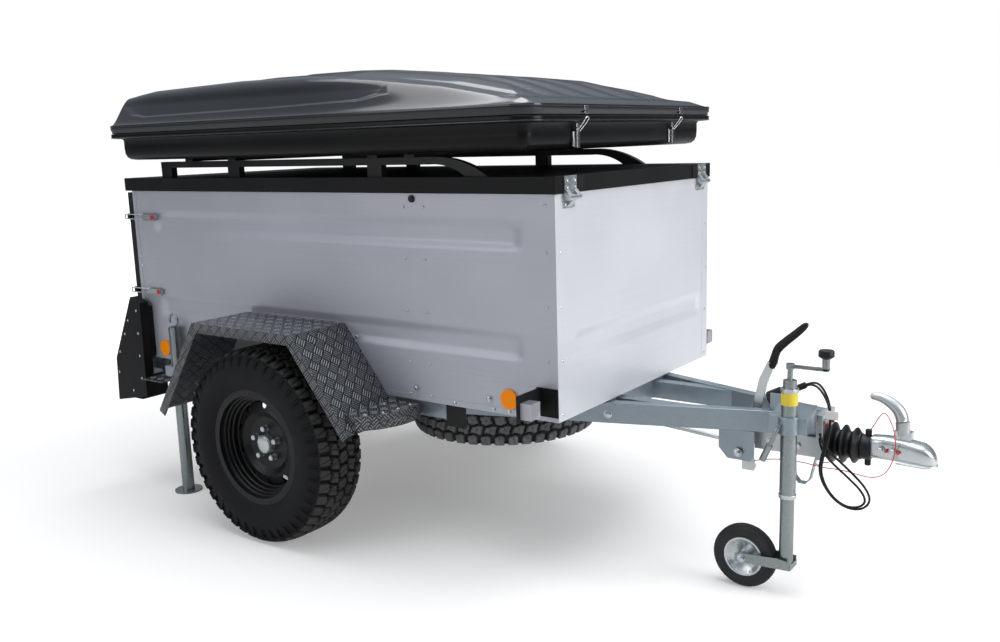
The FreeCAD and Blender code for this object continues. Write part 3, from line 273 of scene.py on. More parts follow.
def zinc(name, dark, light, rough, spangle, metallic=1.0):
    """Zinc coating: faint crystal shades over a slow stain, with uneven gloss."""
    material, tree, shader, place, spots = speckled(name, {"Metallic": metallic}, 9.0, 160.0,
                                                    rough)
    cells = use(tree, "spangle", Vector=place, Scale=spangle)
    crystals = spread(tree, cells.outputs["Shade"], 0.3, 0.7, (0, 1))
    both = calc(tree, "MULTIPLY", calc(tree, "ADD", spots.outputs["Tone"], crystals), 0.5)
    tree.links.new(tint(tree, both, dark, light), shader.inputs["Base Color"])
    raise_surface(tree, shader, spots.outputs["Height"], 0.12, 0.0003)
    return material


def sheet_metal(name, dark, light, rough, metallic, stretch):
    """Coated rolled sheet: faint streaks along the rolling direction and slow clouding."""
    material, tree, shader, place, spots = speckled(name, {"Metallic": metallic}, 2.5, 500.0,
                                                    rough)
    streak = use(tree, "brushed", Vector=place, Stretch=stretch).outputs["Streak"]
    both = calc(tree, "MULTIPLY", calc(tree, "ADD", spots.outputs["Tone"], streak), 0.55)
    tree.links.new(tint(tree, both, dark, light), shader.inputs["Base Color"])
    raise_surface(tree, shader, streak, 0.05, 0.0003)
    return material


def tread_plate(name, dark, light):
    """Black painted chequer plate whose bar crests are painted brighter: a painted highlight for
    the glints on the raised bars.
    """
    material, tree, shader, _, _ = speckled(name, {"Metallic": 0.55}, 8.0, 220.0, (0.24, 0.36))
    flat = add(tree, "UVMap", uv_map="plate").outputs[0]
    height = use(tree, "chequer", Vector=flat, Cell=0.034).outputs["Height"]
    # painted highlight: the raised bars run from the dark to the light colour, standing for light
    # glinting on their crests
    tree.links.new(tint(tree, height, dark, light), shader.inputs["Base Color"])
    raise_surface(tree, shader, height, 1.0, 0.0022)
    return material


def worn_rubber(name, dark, light, dusty, rough, **fixed):
    """Rubber that is paler where the mesh's dust attribute marks the crowns of the blocks."""
    material, tree, shader, _, spots = speckled(name, fixed, 14.0, 420.0, rough)
    base = tint(tree, spots.outputs["Tone"], dark, light)
    dust = add(tree, "Attribute", attribute_name="dust").outputs["Fac"]
    share = calc(tree, "MULTIPLY", dust, spread(tree, spots.outputs["Tone"], 0.55, 1.0, (0, 1)))
    both = add(tree, "Mix", {0: share, 6: base, 7: (*dusty, 1)}, data_type="RGBA").outputs[2]
    tree.links.new(both, shader.inputs["Base Color"])
    raise_surface(tree, shader, spots.outputs["Height"], 0.35, 0.0006)
    return material


def lens(name, dark, light, pitch, **fixed):
    """Moulded lens: prisms in a fine Voronoi grid under a clear coat."""
    material, tree, shader, place = blank(name, {"Roughness": 0.12, "Coat Weight": 1.0,
                                                 "Coat Roughness": 0.03, **fixed})
    prism = add(tree, "TexVoronoi", {"Vector": place, "Scale": 1.0 / pitch, "Randomness": 0.0})
    near = spread(tree, prism.outputs["Distance"], 0.0, 1.0, (0.0, 0.6))
    tree.links.new(tint(tree, near, light, dark), shader.inputs["Base Color"])
    raise_surface(tree, shader, prism.outputs["Distance"], 0.6, 0.0015)
    return material


SOFT, DULL = {"Specular IOR Level": 0.24}, {"Specular IOR Level": 0.14}
MATT_LENS = {"Coat Weight": 0.1, "Specular IOR Level": 0.1}
FINISHES = {}


def finish(make, name, *values, **fixed):
    """Adds a finish: its maker gets its dark and light ends, then the maker's other values."""
    FINISHES[name] = make(name, *values, **fixed)


finish(coated, "floor_board", (0.10, 0.065, 0.04), (0.17, 0.115, 0.07), (0.4, 0.55),
       (9.0, 500.0))
finish(sheet_metal, "side_paint", (0.375, 0.385, 0.435), (0.455, 0.465, 0.52), (0.36, 0.46),
       0.30, (0.4, 1.0, 60.0))
finish(sheet_metal, "front_paint", (0.57, 0.59, 0.62), (0.67, 0.69, 0.72), (0.36, 0.46), 0.30,
       (1.0, 0.4, 60.0))
finish(zinc, "galvanised", (0.23, 0.275, 0.31), (0.29, 0.34, 0.38), (0.30, 0.40), 90.0, 0.65)
finish(zinc, "zinc", (0.44, 0.47, 0.48), (0.57, 0.60, 0.61), (0.2, 0.32), 260.0, 0.85)
finish(worn_rubber, "tyre_rubber", (0.005, 0.005, 0.006), (0.010, 0.010, 0.011),
       (0.050, 0.050, 0.048), (0.5, 0.7), **DULL)
finish(coated, "wheel_black", (0.004, 0.004, 0.0045), (0.009, 0.009, 0.010), (0.3, 0.42),
       (10.0, 260.0), **SOFT)
# the light end of tread_plate is the painted highlight on the crests of the chequer bars
finish(tread_plate, "tread_plate", (0.030, 0.033, 0.038), (0.21, 0.225, 0.24))
finish(coated, "black_plate", (0.006, 0.006, 0.0065), (0.012, 0.012, 0.013), (0.42, 0.56),
       (7.0, 350.0), **DULL)
finish(lens, "lamp_red", (0.28, 0.004, 0.004), (0.6, 0.02, 0.015), 0.004)
finish(lens, "lamp_clear", (0.22, 0.23, 0.25), (0.62, 0.64, 0.67), 0.003)
finish(lens, "reflector_amber", (0.95, 0.24, 0.0), (1.0, 0.38, 0.002), 0.0035, **MATT_LENS)
finish(coated, "gaiter_rubber", (0.004, 0.004, 0.0045), (0.010, 0.010, 0.011), (0.32, 0.46),
       (20.0, 300.0), **SOFT)
finish(coated, "grip_black", (0.006, 0.006, 0.006), (0.013, 0.013, 0.013), (0.34, 0.48),
       (16.0, 500.0), **SOFT)
finish(coated, "plug_black", (0.008, 0.008, 0.009), (0.017, 0.017, 0.018), (0.38, 0.5),
       (20.0, 500.0), **SOFT)
finish(coated, "cable_black", (0.006, 0.006, 0.006), (0.013, 0.013, 0.014), (0.38, 0.5),
       (30.0, 600.0), **SOFT)
finish(coated, "cable_red", (0.42, 0.01, 0.01), (0.6, 0.02, 0.02), (0.25, 0.4), (30.0, 600.0))
finish(coated, "jockey_rubber", (0.018, 0.018, 0.019), (0.032, 0.032, 0.034), (0.55, 0.7),
       (16.0, 420.0), (0.3, 0.0005), **SOFT)
finish(coated, "lid_black", (0.005, 0.005, 0.0055), (0.010, 0.010, 0.011), (0.42, 0.54),
       (3.0, 700.0), (0.2, 0.0003), **DULL)
finish(coated, "rack_black", (0.005, 0.005, 0.0055), (0.010, 0.010, 0.011), (0.32, 0.44),
       (8.0, 300.0), **SOFT)
finish(coated, "tent_gloss", (0.004, 0.0045, 0.007), (0.008, 0.0088, 0.0125), (0.12, 0.18),
       (2.0, 130.0), (0.05, 0.0005))
finish(zinc, "chrome_trim", (0.7, 0.72, 0.74), (0.85, 0.87, 0.89), (0.06, 0.14), 30.0)
finish(coated, "tailgate_black", (0.008, 0.008, 0.009), (0.015, 0.015, 0.017), (0.36, 0.48),
       (4.0, 400.0), **SOFT)
finish(coated, "label_yellow", (0.66, 0.52, 0.03), (0.75, 0.6, 0.05), (0.3, 0.42),
       (12.0, 300.0))
finish(coated, "tag_white", (0.72, 0.72, 0.7), (0.8, 0.8, 0.79), (0.4, 0.5), (20.0, 300.0))
finish(coated, "tip_red", (0.45, 0.01, 0.01), (0.6, 0.02, 0.015), (0.3, 0.42), (30.0, 300.0))
finish(zinc, "grey_zinc", (0.21, 0.235, 0.24), (0.28, 0.31, 0.315), (0.22, 0.32), 200.0, 0.9)
finish(zinc, "cast_zinc", (0.40, 0.42, 0.43), (0.52, 0.54, 0.55), (0.32, 0.44), 120.0, 0.7)
finish(worn_rubber, "spare_rubber", (0.018, 0.018, 0.019), (0.028, 0.028, 0.030),
       (0.17, 0.175, 0.18), (0.55, 0.7), **SOFT)
finish(coated, "tray_black", (0.004, 0.004, 0.0045), (0.008, 0.008, 0.0085), (0.26, 0.36),
       (2.0, 130.0), (0.05, 0.0005), **DULL)


# ---- mesh tools ------------------------------------------------------------------------------
def loops(points, closed_u=False):
    """Skin over a grid of points (u, v): v always closes on itself, u closes if told to, and
    otherwise each end ring gets a flat cap."""
    m, n = points.shape[:2]
    rows = np.arange(m if closed_u else m - 1)[:, None]
    cols = np.arange(n)[None, :]
    after_row, after_col = (rows + 1) % m, (cols + 1) % n
    quads = np.stack([rows * n + cols, after_row * n + cols, after_row * n + after_col,
                      rows * n + after_col], -1).reshape(-1, 4)
    faces = quads.tolist()
    if not closed_u:
        faces.append(list(range(n)))
        faces.append(list(range(m * n - 1, (m - 1) * n - 1, -1)))
    verts = points.reshape(-1, 3)
    tri = np.concatenate([quads[:, :3], quads[:, [0, 2, 3]]])
    a, b, c = (verts[tri[:, k]] - verts.mean(0) for k in range(3))
    if np.einsum("ij,ij->", a, np.cross(b, c)) < 0:
        faces = [face[::-1] for face in faces]
    return verts, faces


def square_to(axis):
    """Two unit vectors at right angles to axis and to each other."""
    axis = np.array(axis, float) / np.linalg.norm(axis)
    helper = np.array([0.0, 0.0, 1.0]) if abs(axis[2]) < 0.9 else np.array([1.0, 0.0, 0.0])
    side = np.cross(helper, axis)
    side /= np.linalg.norm(side)
    return side, np.cross(axis, side), axis


def lathe(profile, centre, axis, steps=64):
    """Closed (radius, along) outline turned round the axis through centre: each point is
    centre + along * axis + radius * (cos, sin) in the plane square to it."""
    side, up, axis = square_to(axis)
    turn = np.linspace(0, 2 * np.pi, steps, endpoint=False)[:, None, None]
    r, a = (np.array(profile, float)[None, :, k, None] for k in (0, 1))
    points = np.array(centre) + a * axis + r * (np.cos(turn) * side + np.sin(turn) * up)
    return loops(points, closed_u=True)


def studs(places, axis, outline, steps):
    """The same small turned piece at many places, worked out at once: outline holds (radius,
    along) pairs from one flat cap to the other."""
    side, up, axis = square_to(axis)
    turn = np.linspace(0, 2 * np.pi, steps, endpoint=False)[None, :, None]
    r, a = (np.array(outline, float)[:, None, k, None] for k in (0, 1))
    one = a * axis + r * (np.cos(turn) * side + np.sin(turn) * up)
    return [loops(one + np.array(place)) for place in places]


def disc_stack(outline, centre, axis, steps=32):
    """Solid of revolution from a (radius, along) line whose two ends are capped flat."""
    return studs([centre], axis, outline, steps)[0]


def tube(path, radius, sides=16, squash=1.0):
    """Round bar along a line of points: at each one a ring of the given radius stands square to
    the mean direction of its neighbours; squash flattens it sideways."""
    path = np.array(path, float)
    ahead = np.gradient(path, axis=0)
    ahead /= np.linalg.norm(ahead, axis=1)[:, None]
    side = np.cross(ahead, [0.0, 0.0, 1.0])
    weak = np.linalg.norm(side, axis=1) < 0.2
    side[weak] = np.cross(ahead[weak], [0.0, 1.0, 0.0])
    side /= np.linalg.norm(side, axis=1)[:, None]
    up = np.cross(side, ahead)
    turn = np.linspace(0, 2 * np.pi, sides, endpoint=False)[None, :, None]
    r = np.broadcast_to(radius, len(path))[:, None, None]
    return loops(path[:, None] + r * (np.cos(turn) * side[:, None] * squash
                                      + np.sin(turn) * up[:, None]))


def smooth_line(points, count=24):
    """Points of a Catmull-Rom curve through the given ones."""
    p = np.array(points, float)
    p = np.vstack([2 * p[0] - p[1], p, 2 * p[-1] - p[-2]])
    t = np.linspace(0, len(points) - 1 - 1e-9, count)
    k = t.astype(int)
    f = (t - k)[:, None]
    a, b, c, d = (p[k + j] for j in range(4))
    return 0.5 * (2 * b + (c - a) * f + (2 * a - 5 * b + 4 * c - d) * f ** 2
                  + (3 * b - a - 3 * c + d) * f ** 3)


def cuboid(low, high):
    """Plain box; its piece's Bevel modifier rounds the edges."""
    (x0, y0, z0), (x1, y1, z1) = low, high
    ring = np.array([[x0, y0], [x1, y0], [x1, y1], [x0, y1]])
    points = np.stack([np.column_stack([ring, np.full(4, z)]) for z in (z0, z1)])
    return loops(points)


def rivets(places, axis, radius=0.0048):
    """Low domed heads."""
    return studs(places, axis, [(radius, 0), (radius * 0.9, radius * 0.35),
                                (radius * 0.5, radius * 0.6), (radius * 0.1, radius * 0.68)], 10)


def hex_heads(places, axis, radius=0.008, height=0.006):
    """Six-sided heads on round washers."""
    washer = studs(places, axis, [(radius * 1.3, 0), (radius * 1.3, 0.0015)], 20)
    heads = studs(places, axis, [(radius, 0.001), (radius, height),
                                 (radius * 0.85, height * 1.12)], 6)
    return washer + heads


def piece(name, parts, body, finish, bevel=0.0, stands_for=(), angle=38.0):
    """Joins parts into one mesh object that rides on body."""
    if isinstance(parts, tuple):
        parts = [parts]
    verts, faces, start = [], [], 0
    for points, polygons in parts:
        verts.append(points)
        faces += [[k + start for k in polygon] for polygon in polygons]
        start += len(points)
    mesh = bpy.data.meshes.new(name)
    mesh.from_pydata(np.concatenate(verts).tolist(), [], faces)
    return dress(name, mesh, body, finish, bevel,
                 stands_for, angle)


def dress(name, mesh, body, finish, bevel, stands_for, angle, uv=False):
    """Object of a finished mesh: sharp edges past the angle, its finish, rounded edges, and the
    body it rides on; the CAD nodes it stands for are hidden."""
    mesh.validate()
    mesh.shade_smooth()
    mesh.set_sharp_from_angle(angle=math.radians(angle))
    if uv:
        plate_map(mesh)
    made = link(name, mesh)
    mesh.materials.append(FINISHES[finish])
    if bevel:
        edge = made.modifiers.new("edges", "BEVEL")
        edge.width = bevel
        edge.segments = 2
        edge.limit_method = "ANGLE"
        edge.angle_limit = math.radians(angle)
        edge.harden_normals = True
    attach(made, body)
    if stands_for:
        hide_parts(*stands_for)
    return made


def plate_map(mesh):
    """UV map in metres: each face is unrolled along the direction square to its normal and to Y,
    or to X where it faces sideways."""
    layer = mesh.uv_layers.new(name="plate")
    normals = np.empty(len(mesh.polygons) * 3)
    mesh.polygon_normals.foreach_get("vector", normals)
    normals = normals.reshape(-1, 3)
    counts = np.array([len(p.vertices) for p in mesh.polygons])
    corner = np.empty(len(mesh.loops), int)
    mesh.loops.foreach_get("vertex_index", corner)
    points = np.empty(len(mesh.vertices) * 3)
    mesh.vertices.foreach_get("co", points)
    points = points.reshape(-1, 3)[corner]
    normal = np.repeat(normals, counts, axis=0)
    base = np.where(np.abs(normal[:, 1:2]) > 0.7, [[1.0, 0, 0]], [[0, 1.0, 0]])
    u = np.cross(base, normal)
    u /= np.linalg.norm(u, axis=1)[:, None] + 1e-9
    v = np.cross(normal, u)
    flat = np.column_stack([np.einsum("ij,ij->i", points, u), np.einsum("ij,ij->i", points, v)])
    layer.data.foreach_set("uv", flat.ravel())


def softened(node, bevel, finish=None, uv=False, angle=32.0):
    """Merged copy of a CAD node with its flat faces joined and its edges rounded."""
    mesh = NODES[node].data.copy()
    mesh.materials.clear()
    work = bmesh.new()
    work.from_mesh(mesh)
    bmesh.ops.remove_doubles(work, verts=work.verts, dist=1e-5)
    bmesh.ops.dissolve_limit(work, angle_limit=math.radians(0.8), verts=work.verts,
                             edges=work.edges)
    work.to_mesh(mesh)
    work.free()
    slot = SLOT_OF[node]
    return dress(node + "_finish", mesh, BODY_OF[node], finish or slot, bevel, (node,),
                 angle, uv)


# ---- tyres -----------------------------------------------------------------------------------
def smooth_step(value, low, high):
    """0 below low, 1 above high, and 3t^2 - 2t^3 of the way t between them."""
    t = np.clip((value - low) / (high - low), 0, 1)
    return t * t * (3 - 2 * t)


TREAD_PITCHES = 44


def tread_depth(turn, across):
    """Groove depth from 0 to 1 of an all-terrain tread. across runs from -1 to 1. Four zigzag
    grooves run round the tyre and leave five rows of blocks; slanted notches, shifted from row to
    row, part the blocks, and wide gaps part the shoulder blocks; each groove is a rounded step in
    the distance from its own line."""
    phase = turn * TREAD_PITCHES / (2 * np.pi)
    zigzag = 0.045 * (2 * np.abs(2 * (phase % 1) - 1) - 1)
    centres = ((-0.60, 0.055), (-0.20, 0.04), (0.20, 0.04), (0.60, 0.055))
    round_groove = 0
    for k, (centre, wide) in enumerate(centres):
        line = np.abs(across - centre - zigzag * (-1) ** k)
        round_groove = np.maximum(round_groove, 1 - smooth_step(line, wide * 0.55, wide))
    row = np.floor(np.clip((across + 1.0) / 0.4, 0, 4.999))
    slant = phase + 0.5 * row + 0.55 * across * (-1) ** row
    notch = np.abs(slant % 1 - 0.5)
    inner = np.abs(across) < 0.60
    part = (1 - smooth_step(notch, 0.07, 0.12)) * inner
    shoulder = np.abs((phase + 0.5 * (across > 0) + 0.12 * np.abs(across)) % 1 - 0.5)
    side_gap = (1 - smooth_step(shoulder, 0.11, 0.17)) * ~inner
    fine = np.abs((slant * 2 + 0.5) % 1 - 0.5)
    sipe = (1 - smooth_step(fine, 0.03, 0.07)) * 0.3
    return np.maximum.reduce([round_groove, part, side_gap, sipe])


def tyre(name, node, axis, around, finish="tyre_rubber"):
    """Tyre as a closed (radius, along) section turned about the axle. The tread's radius drops by
    the groove depth, the shoulder lugs run out over the sidewall, and two raised rings and a rim
    guard circle each sidewall."""
    low, high = corners(node)
    centre, half = (low + high) / 2, (high - low)[np.argmax(axis)] / 2
    tread = np.linspace(-1, 1, 43)
    wall = np.linspace(0, 1, 15)
    bead_r, low_r, high_r = 0.1910, 0.2110, TYRE_RADIUS - 0.016
    belly = half - 0.024 + 0.024 * np.sin(np.pi * (0.08 + 0.84 * wall) ** 0.9)
    belly = np.clip(belly, 0, half)
    belly[-1] = half - 0.009
    wall_r = low_r + (high_r - low_r) * wall
    crown_r = TYRE_RADIUS - 0.0125 * np.abs(tread) ** 5
    tread_a = tread * (half - 0.012)
    radius = np.concatenate([[bead_r], wall_r, crown_r, wall_r[::-1], [bead_r]])
    along = np.concatenate([[-(half - 0.024)], -belly, tread_a, belly[::-1], [half - 0.024]])
    across = np.concatenate([[-1.3], -1.3 + 0.3 * wall, tread, 1.3 - 0.3 * wall[::-1], [1.3]])
    turn = np.linspace(0, 2 * np.pi, around, endpoint=False)[:, None]
    depth = tread_depth(turn, np.clip(across, -1, 1)[None])
    on_tread = np.zeros(len(radius))
    first = 1 + len(wall)
    on_tread[first:first + len(tread)] = 1.0
    drop = 0.0135 * depth * on_tread
    lug = smooth_step(radius, TYRE_RADIUS - 0.062, TYRE_RADIUS - 0.05) * (1 - on_tread)
    ring = (np.exp(-((radius - 0.232) / 0.004) ** 2)
            + 0.7 * np.exp(-((radius - 0.285) / 0.003) ** 2))
    inwards = 0.0065 * depth * lug + 0.0016 * (1 - ring) * (1 - on_tread) * (1 - lug)
    inwards = inwards * (radius > bead_r + 0.001)
    side, up, axis = square_to(axis)
    r = (radius - drop)[..., None]
    a = (along - np.sign(along) * inwards)[..., None]
    wave = turn[..., None]
    points = np.array(centre) + a * axis + r * (np.cos(wave) * side + np.sin(wave) * up)
    made = piece(name, loops(points, closed_u=True), BODY_OF[node], finish, stands_for=(node,),
                 angle=30.0)
    dust = made.data.attributes.new("dust", "FLOAT", "POINT")
    dust.data.foreach_set("value", ((1 - depth) * on_tread).ravel())


for side_name in ("left", "right"):
    tyre("road_tyre_" + side_name, "tyre_" + side_name, (0, 1, 0), 20 * TREAD_PITCHES)
tyre("spare_tyre_tread", "spare_tyre", (0, 0, 1), 10 * TREAD_PITCHES, "spare_rubber")


# ---- wheels ----------------------------------------------------------------------------------
def wheel_trim(side_name, out):
    """Hex wheel bolts, a bright grease cap and a valve on one road wheel."""
    body = BODY_OF["rim_" + side_name]
    disc_y = out * 0.717
    centre = at(0, disc_y, WHEEL_Z)
    turn = np.arange(5) * 2 * np.pi / 5
    places = np.column_stack([centre[0] + 0.056 * np.sin(turn), np.full(5, disc_y),
                              centre[2] + 0.056 * np.cos(turn)])
    heads = studs(places, (0, out, 0), [(0.0125, 0.0), (0.0125, 0.004), (0.0105, 0.008)], 20)
    heads += studs(places, (0, out, 0), [(0.0112, 0.006), (0.0112, 0.0235), (0.0085, 0.026)], 6)
    piece("wheel_bolts_" + side_name, heads, body, "zinc", 0.0006)
    cap = [(0.0355, 0.0), (0.0355, 0.004), (0.0335, 0.007), (0.0335, 0.019), (0.030, 0.0255),
           (0.022, 0.028), (0.002, 0.029)]
    piece("grease_cap_" + side_name, disc_stack(cap, centre, (0, out, 0), 48), body, "zinc")
    steps = np.array([(0.1855, 0.076), (0.1835, 0.070), (0.1785, 0.068), (0.1765, 0.058),
                      (0.1715, 0.056), (0.1695, 0.044), (0.1640, 0.042), (0.1620, 0.026),
                      (0.1560, 0.024), (0.1540, 0.008), (0.1600, 0.006)])
    outer = steps[::-1] + (0.0035, 0.0)
    barrel = np.concatenate([steps, outer])
    centre_y = out * WHEEL_MID_Y
    piece("rim_steps_" + side_name, lathe(barrel, at(0, centre_y, WHEEL_Z), (0, out, 0), 96),
          body, "wheel_black", angle=40.0)
    stem = disc_stack([(0.004, 0), (0.004, 0.022), (0.0055, 0.022), (0.0055, 0.036)],
                      at(0.150, out * 0.727, WHEEL_Z - 0.06), (0.1, out, 0), 14)
    piece("valve_" + side_name, stem, body, "plug_black")


wheel_trim("right", -1)
wheel_trim("left", 1)


# ---- walls -----------------------------------------------------------------------------------
def pressed(value, low, high, slope=0.034):
    """1 inside a pressed channel and 0 outside, with rounded slopes."""
    return smooth_step(value, low, low + slope) * (1 - smooth_step(value, high - slope, high))


def wall_skin(place, u_range, z_range, channels, u_ends, thick, slack):
    """Folded sheet wall: the outer face lies back by the channel depth, plus a faint slackness
    that swells between the folded edges; the inner face is flat. place turns (u, depth, z) into
    a point."""
    u = np.linspace(*u_range, 121)[:, None]
    z = np.linspace(*z_range, 181)[None, :]
    depth = np.zeros((u.size, z.size))
    for low, high in channels:
        depth = np.maximum(depth, 0.009 * pressed(z, low, high) * pressed(u, *u_ends))
    free = smooth_step(u, u_range[0], u_range[0] + 0.12) * (1 - smooth_step(
        u, u_range[1] - 0.12, u_range[1]))
    wave = np.sin(u * 7.3 + 0.6) * np.sin(z * 11.0 + 0.4)
    depth = depth + slack * free * (1 + wave)
    back = np.full_like(depth, thick)
    front = place(u + 0 * z, depth, z + 0 * u)
    rear = place(u + 0 * z, back, z + 0 * u)
    return loops(np.concatenate([front, rear[:, ::-1]], axis=1))


LOW_CHANNEL, HIGH_CHANNEL = (0.711, 0.811), (1.054, 1.158)
for side_name, out in (("left", 1), ("right", -1)):
    skin = wall_skin(lambda u, d, z, out=out: np.stack([u, out * (BODY_HALF - d), z], -1),
                     (WALL_LOW[0], WALL_HIGH[0]), (WALL_LOW[2], WALL_HIGH[2]),
                     (LOW_CHANNEL, HIGH_CHANNEL), (AXLE_X - 0.805, AXLE_X + 1.0), WALL_THICK,
                     0.0006)
    piece("side_skin_" + side_name, skin, BODY_OF["side_wall_" + side_name],
          "side_paint", stands_for=("side_wall_" + side_name,))
FRONT_LOW, FRONT_HIGH = corners("front_wall")
skin = wall_skin(lambda u, d, z: np.stack([FRONT_HIGH[0] - d, u, z], -1),
                 (FRONT_LOW[1], FRONT_HIGH[1]), (FRONT_LOW[2], FRONT_HIGH[2]), (LOW_CHANNEL,),
                 (-0.45, 0.48), WALL_THICK, 0.0005)
piece("front_skin", skin, "trailer", "front_paint", stands_for=("front_wall",))


def wall_trim():
    """Corner seam strips, edge folds and rivets of the box."""
    bottom, top = WALL_LOW[2] + 0.002, WALL_HIGH[2] - 0.002
    front = FRONT_HIGH[0]
    strips = []
    for out in (-1, 1):
        y = sorted((out * (BODY_HALF - 0.046), out * BODY_HALF))
        strips.append(cuboid((front - 0.001, y[0], bottom), (front + 0.0012, y[1], top)))
    piece("corner_strips", strips, "trailer", "front_paint", 0.0006)
    rear = WALL_LOW[0]
    folds = []
    for out in (-1, 1):
        y = sorted((out * BODY_HALF, out * (BODY_HALF + 0.0012)))
        folds.append(cuboid((rear + 0.002, y[0], bottom), (rear + 0.022, y[1], top)))
        folds.append(cuboid((rear + 0.022, y[0], bottom), (front - 0.022, y[1], bottom + 0.018)))
        folds.append(cuboid((front - 0.022, y[0], bottom), (front - 0.002, y[1], top)))
    piece("wall_folds", folds, "trailer", "side_paint", 0.0006)
    heights = (1.188, 1.018, 0.845, 0.671, 0.562)
    column = [(x, z) for x in (0.534, 0.618) for z in heights]
    column += [(1.085, z) for z in (1.200, 1.059, 0.894, 0.729)]
    column += [(-0.905, 0.965), (-0.905, 0.925)]
    dots = []
    for out in (-1, 1):
        dots += rivets([at(x, out * (BODY_HALF + 0.0005), z) for x, z in column], (0, out, 0))
        dots += rivets([(front + 0.001, out * 0.515, z) for z in (1.060, 0.895, 0.730, 0.562)],
                       (1, 0, 0))
    piece("wall_rivets", dots, "trailer", "zinc")
    bolts = []
    for out in (-1, 1):
        places = [at(x, out * (BODY_HALF + 0.001), 0.552) for x in (-0.70, 0.72, 0.876, 0.936)]
        bolts += hex_heads(places, (0, out, 0), 0.006, 0.005)
    piece("edge_bolts", bolts, "trailer", "zinc")
    stopper = disc_stack([(0.012, 0), (0.012, 0.004), (0.009, 0.008), (0.004, 0.009)],
                         at(0.572, -BODY_HALF, 1.214), (0, -1, 0), 24)
    piece("cable_stopper", stopper, "trailer", "plug_black")


wall_trim()

# ---- CAD pieces that keep their shape, with rounded edges ------------------------------------
FINE, EDGE, ROUND = 0.0008, 0.0018, 0.003    # edge radii of fittings, plates and sections
for node in ("floor_panel", "drawbar_rails", "side_rails", "cross_members", "axle_beam",
             "lid_panel", "tailgate_panel", "roof_rails", "cross_bars",
             "lamp_brackets", "handbrake_bracket", "jockey_clamp"):
    softened(node, ROUND if node in ("drawbar_rails", "roof_rails", "cross_members") else EDGE)
for node in ("swing_arms", "rim_left", "rim_right", "spare_rim", "spare_carrier",
             "fixed_hinge_leaves", "lid_hinge_straps", "tailgate_hinge_leaves", "side_latches",
             "handbrake_lever", "drawbar_brackets", "tent_latches", "marker_lamps", "tail_lamps",
             "side_reflectors", "connector_plug"):
    softened(node, FINE)
for node in ("rear_stand_left", "rear_stand_right", "jockey_outer_tube", "jockey_crank",
             "clamp_lever", "jockey_fork", "jockey_leg", "jockey_spindle"):
    softened(node, FINE, "grey_zinc")
softened("overrun_housing", EDGE, "cast_zinc")
for node in ("mudguard_left", "mudguard_right", "tread_steps"):
    softened(node, 0.0025, uv=True)
for node in ("hub_left", "hub_right", "jockey_rim", "cable_hook"):
    softened(node, FINE)


# ---- roof tent -------------------------------------------------------------------------------
TENT_MID = np.array([(SHELL_LOW[0] + 0.012 + SHELL_HIGH[0]) / 2, 0.0])
TENT_SIZE = np.array([SHELL_HIGH[0] - TENT_MID[0], SHELL_HIGH[1]])
SHELL_STEPS = 140    # points on each long side of the roof's rings


def plan_ring(inset, corner=0.080, along=64, beside=40, round_steps=12):
    """Rounded rectangle of the tent's plan, drawn in by inset: quarter circles at the corners and
    even steps on the straights."""
    half = TENT_SIZE - inset
    r = max(corner - inset, 0.004)
    turn = np.linspace(0, np.pi / 2, round_steps)
    arc = r * np.column_stack([np.cos(turn), np.sin(turn)])
    arcs = []
    for sx, sy in ((1, 1), (-1, 1), (-1, -1), (1, -1)):
        bend = arc if sx == sy else arc[::-1]
        arcs.append(bend * (sx, sy) + (half - r) * (sx, sy))
    ring = []
    for k in range(4):
        start, end = arcs[k][-1], arcs[(k + 1) % 4][0]
        steps = along if k % 2 == 0 else beside
        t = np.linspace(0, 1, steps + 2)[1:-1, None]
        ring += [arcs[k], start + (end - start) * t]
    return TENT_MID + np.concatenate(ring)


def level_ring(inset, height, **steps):
    """Plan ring whose points all lie at one height."""
    ring = plan_ring(inset, **steps)
    return np.column_stack([ring, np.full(len(ring), height)])


def roof_height(x, y, inset):
    """Height of the tent's roof: a steep side rises from the seam to a shoulder line, then a
    shallow crown; shoulder and crown follow their own line from rear to front. A bead runs along
    the shoulder, and three pairs of ribs, each starting further forward than the next one
    inwards, run down the front slope."""
    place = x - AXLE_X
    stations = [-0.935, -0.70, -0.20, 0.15, 0.30, 0.51, 0.72, 0.95, 1.105]
    shoulder = np.interp(place, stations, [1.590, 1.613, 1.622, 1.618, 1.608, 1.586, 1.560, 1.520,
                                           1.507])
    crown = np.interp(place, stations, [1.600, 1.634, 1.650, 1.647, 1.640, 1.620, 1.594, 1.543,
                                        1.518])
    rise = smooth_step(inset, 0.004, 0.085) ** 0.8
    wall = 1.492 + (shoulder - 1.492) * rise
    dome = smooth_step(inset, 0.05, 0.34)
    height = wall + (crown - shoulder) * dome
    bead = np.exp(-((inset - 0.098) / 0.010) ** 2) * smooth_step(place, -0.90, -0.80)
    height = height + 0.004 * bead * (1 - smooth_step(place, 0.45, 0.62))
    for centre, start in ((0.09, -0.52), (0.26, -0.12), (0.43, 0.26)):
        rib = np.exp(-((np.abs(y) - centre) / 0.052) ** 8)
        run = smooth_step(place, start, start + 0.03) * (1 - smooth_step(place, 0.93, 1.02))
        height = height + 0.006 * rib * run * smooth_step(inset, 0.115, 0.14)
    return height


def side_panel(ring, height):
    """How far the tent's side lies back above its crease: the crease climbs slowly from the rear,
    and its two ends curl upwards; the set-back fades out under the shoulder."""
    place = ring[:, 0] - AXLE_X
    crease = np.interp(place, [-0.84, -0.78, -0.70, 0.0, 0.42, 0.50], [1.560, 1.530, 1.5190,
                                                                      1.5235, 1.5300, 1.545])
    within = smooth_step(place, -0.86, -0.83) * (1 - smooth_step(place, 0.49, 0.54))
    beside = smooth_step(np.abs(ring[:, 1]), TENT_SIZE[1] - 0.12, TENT_SIZE[1] - 0.10)
    above = smooth_step(height, crease, crease + 0.0030)
    return 0.0065 * within * beside * above * (1 - smooth_step(height, 1.560, 1.605))


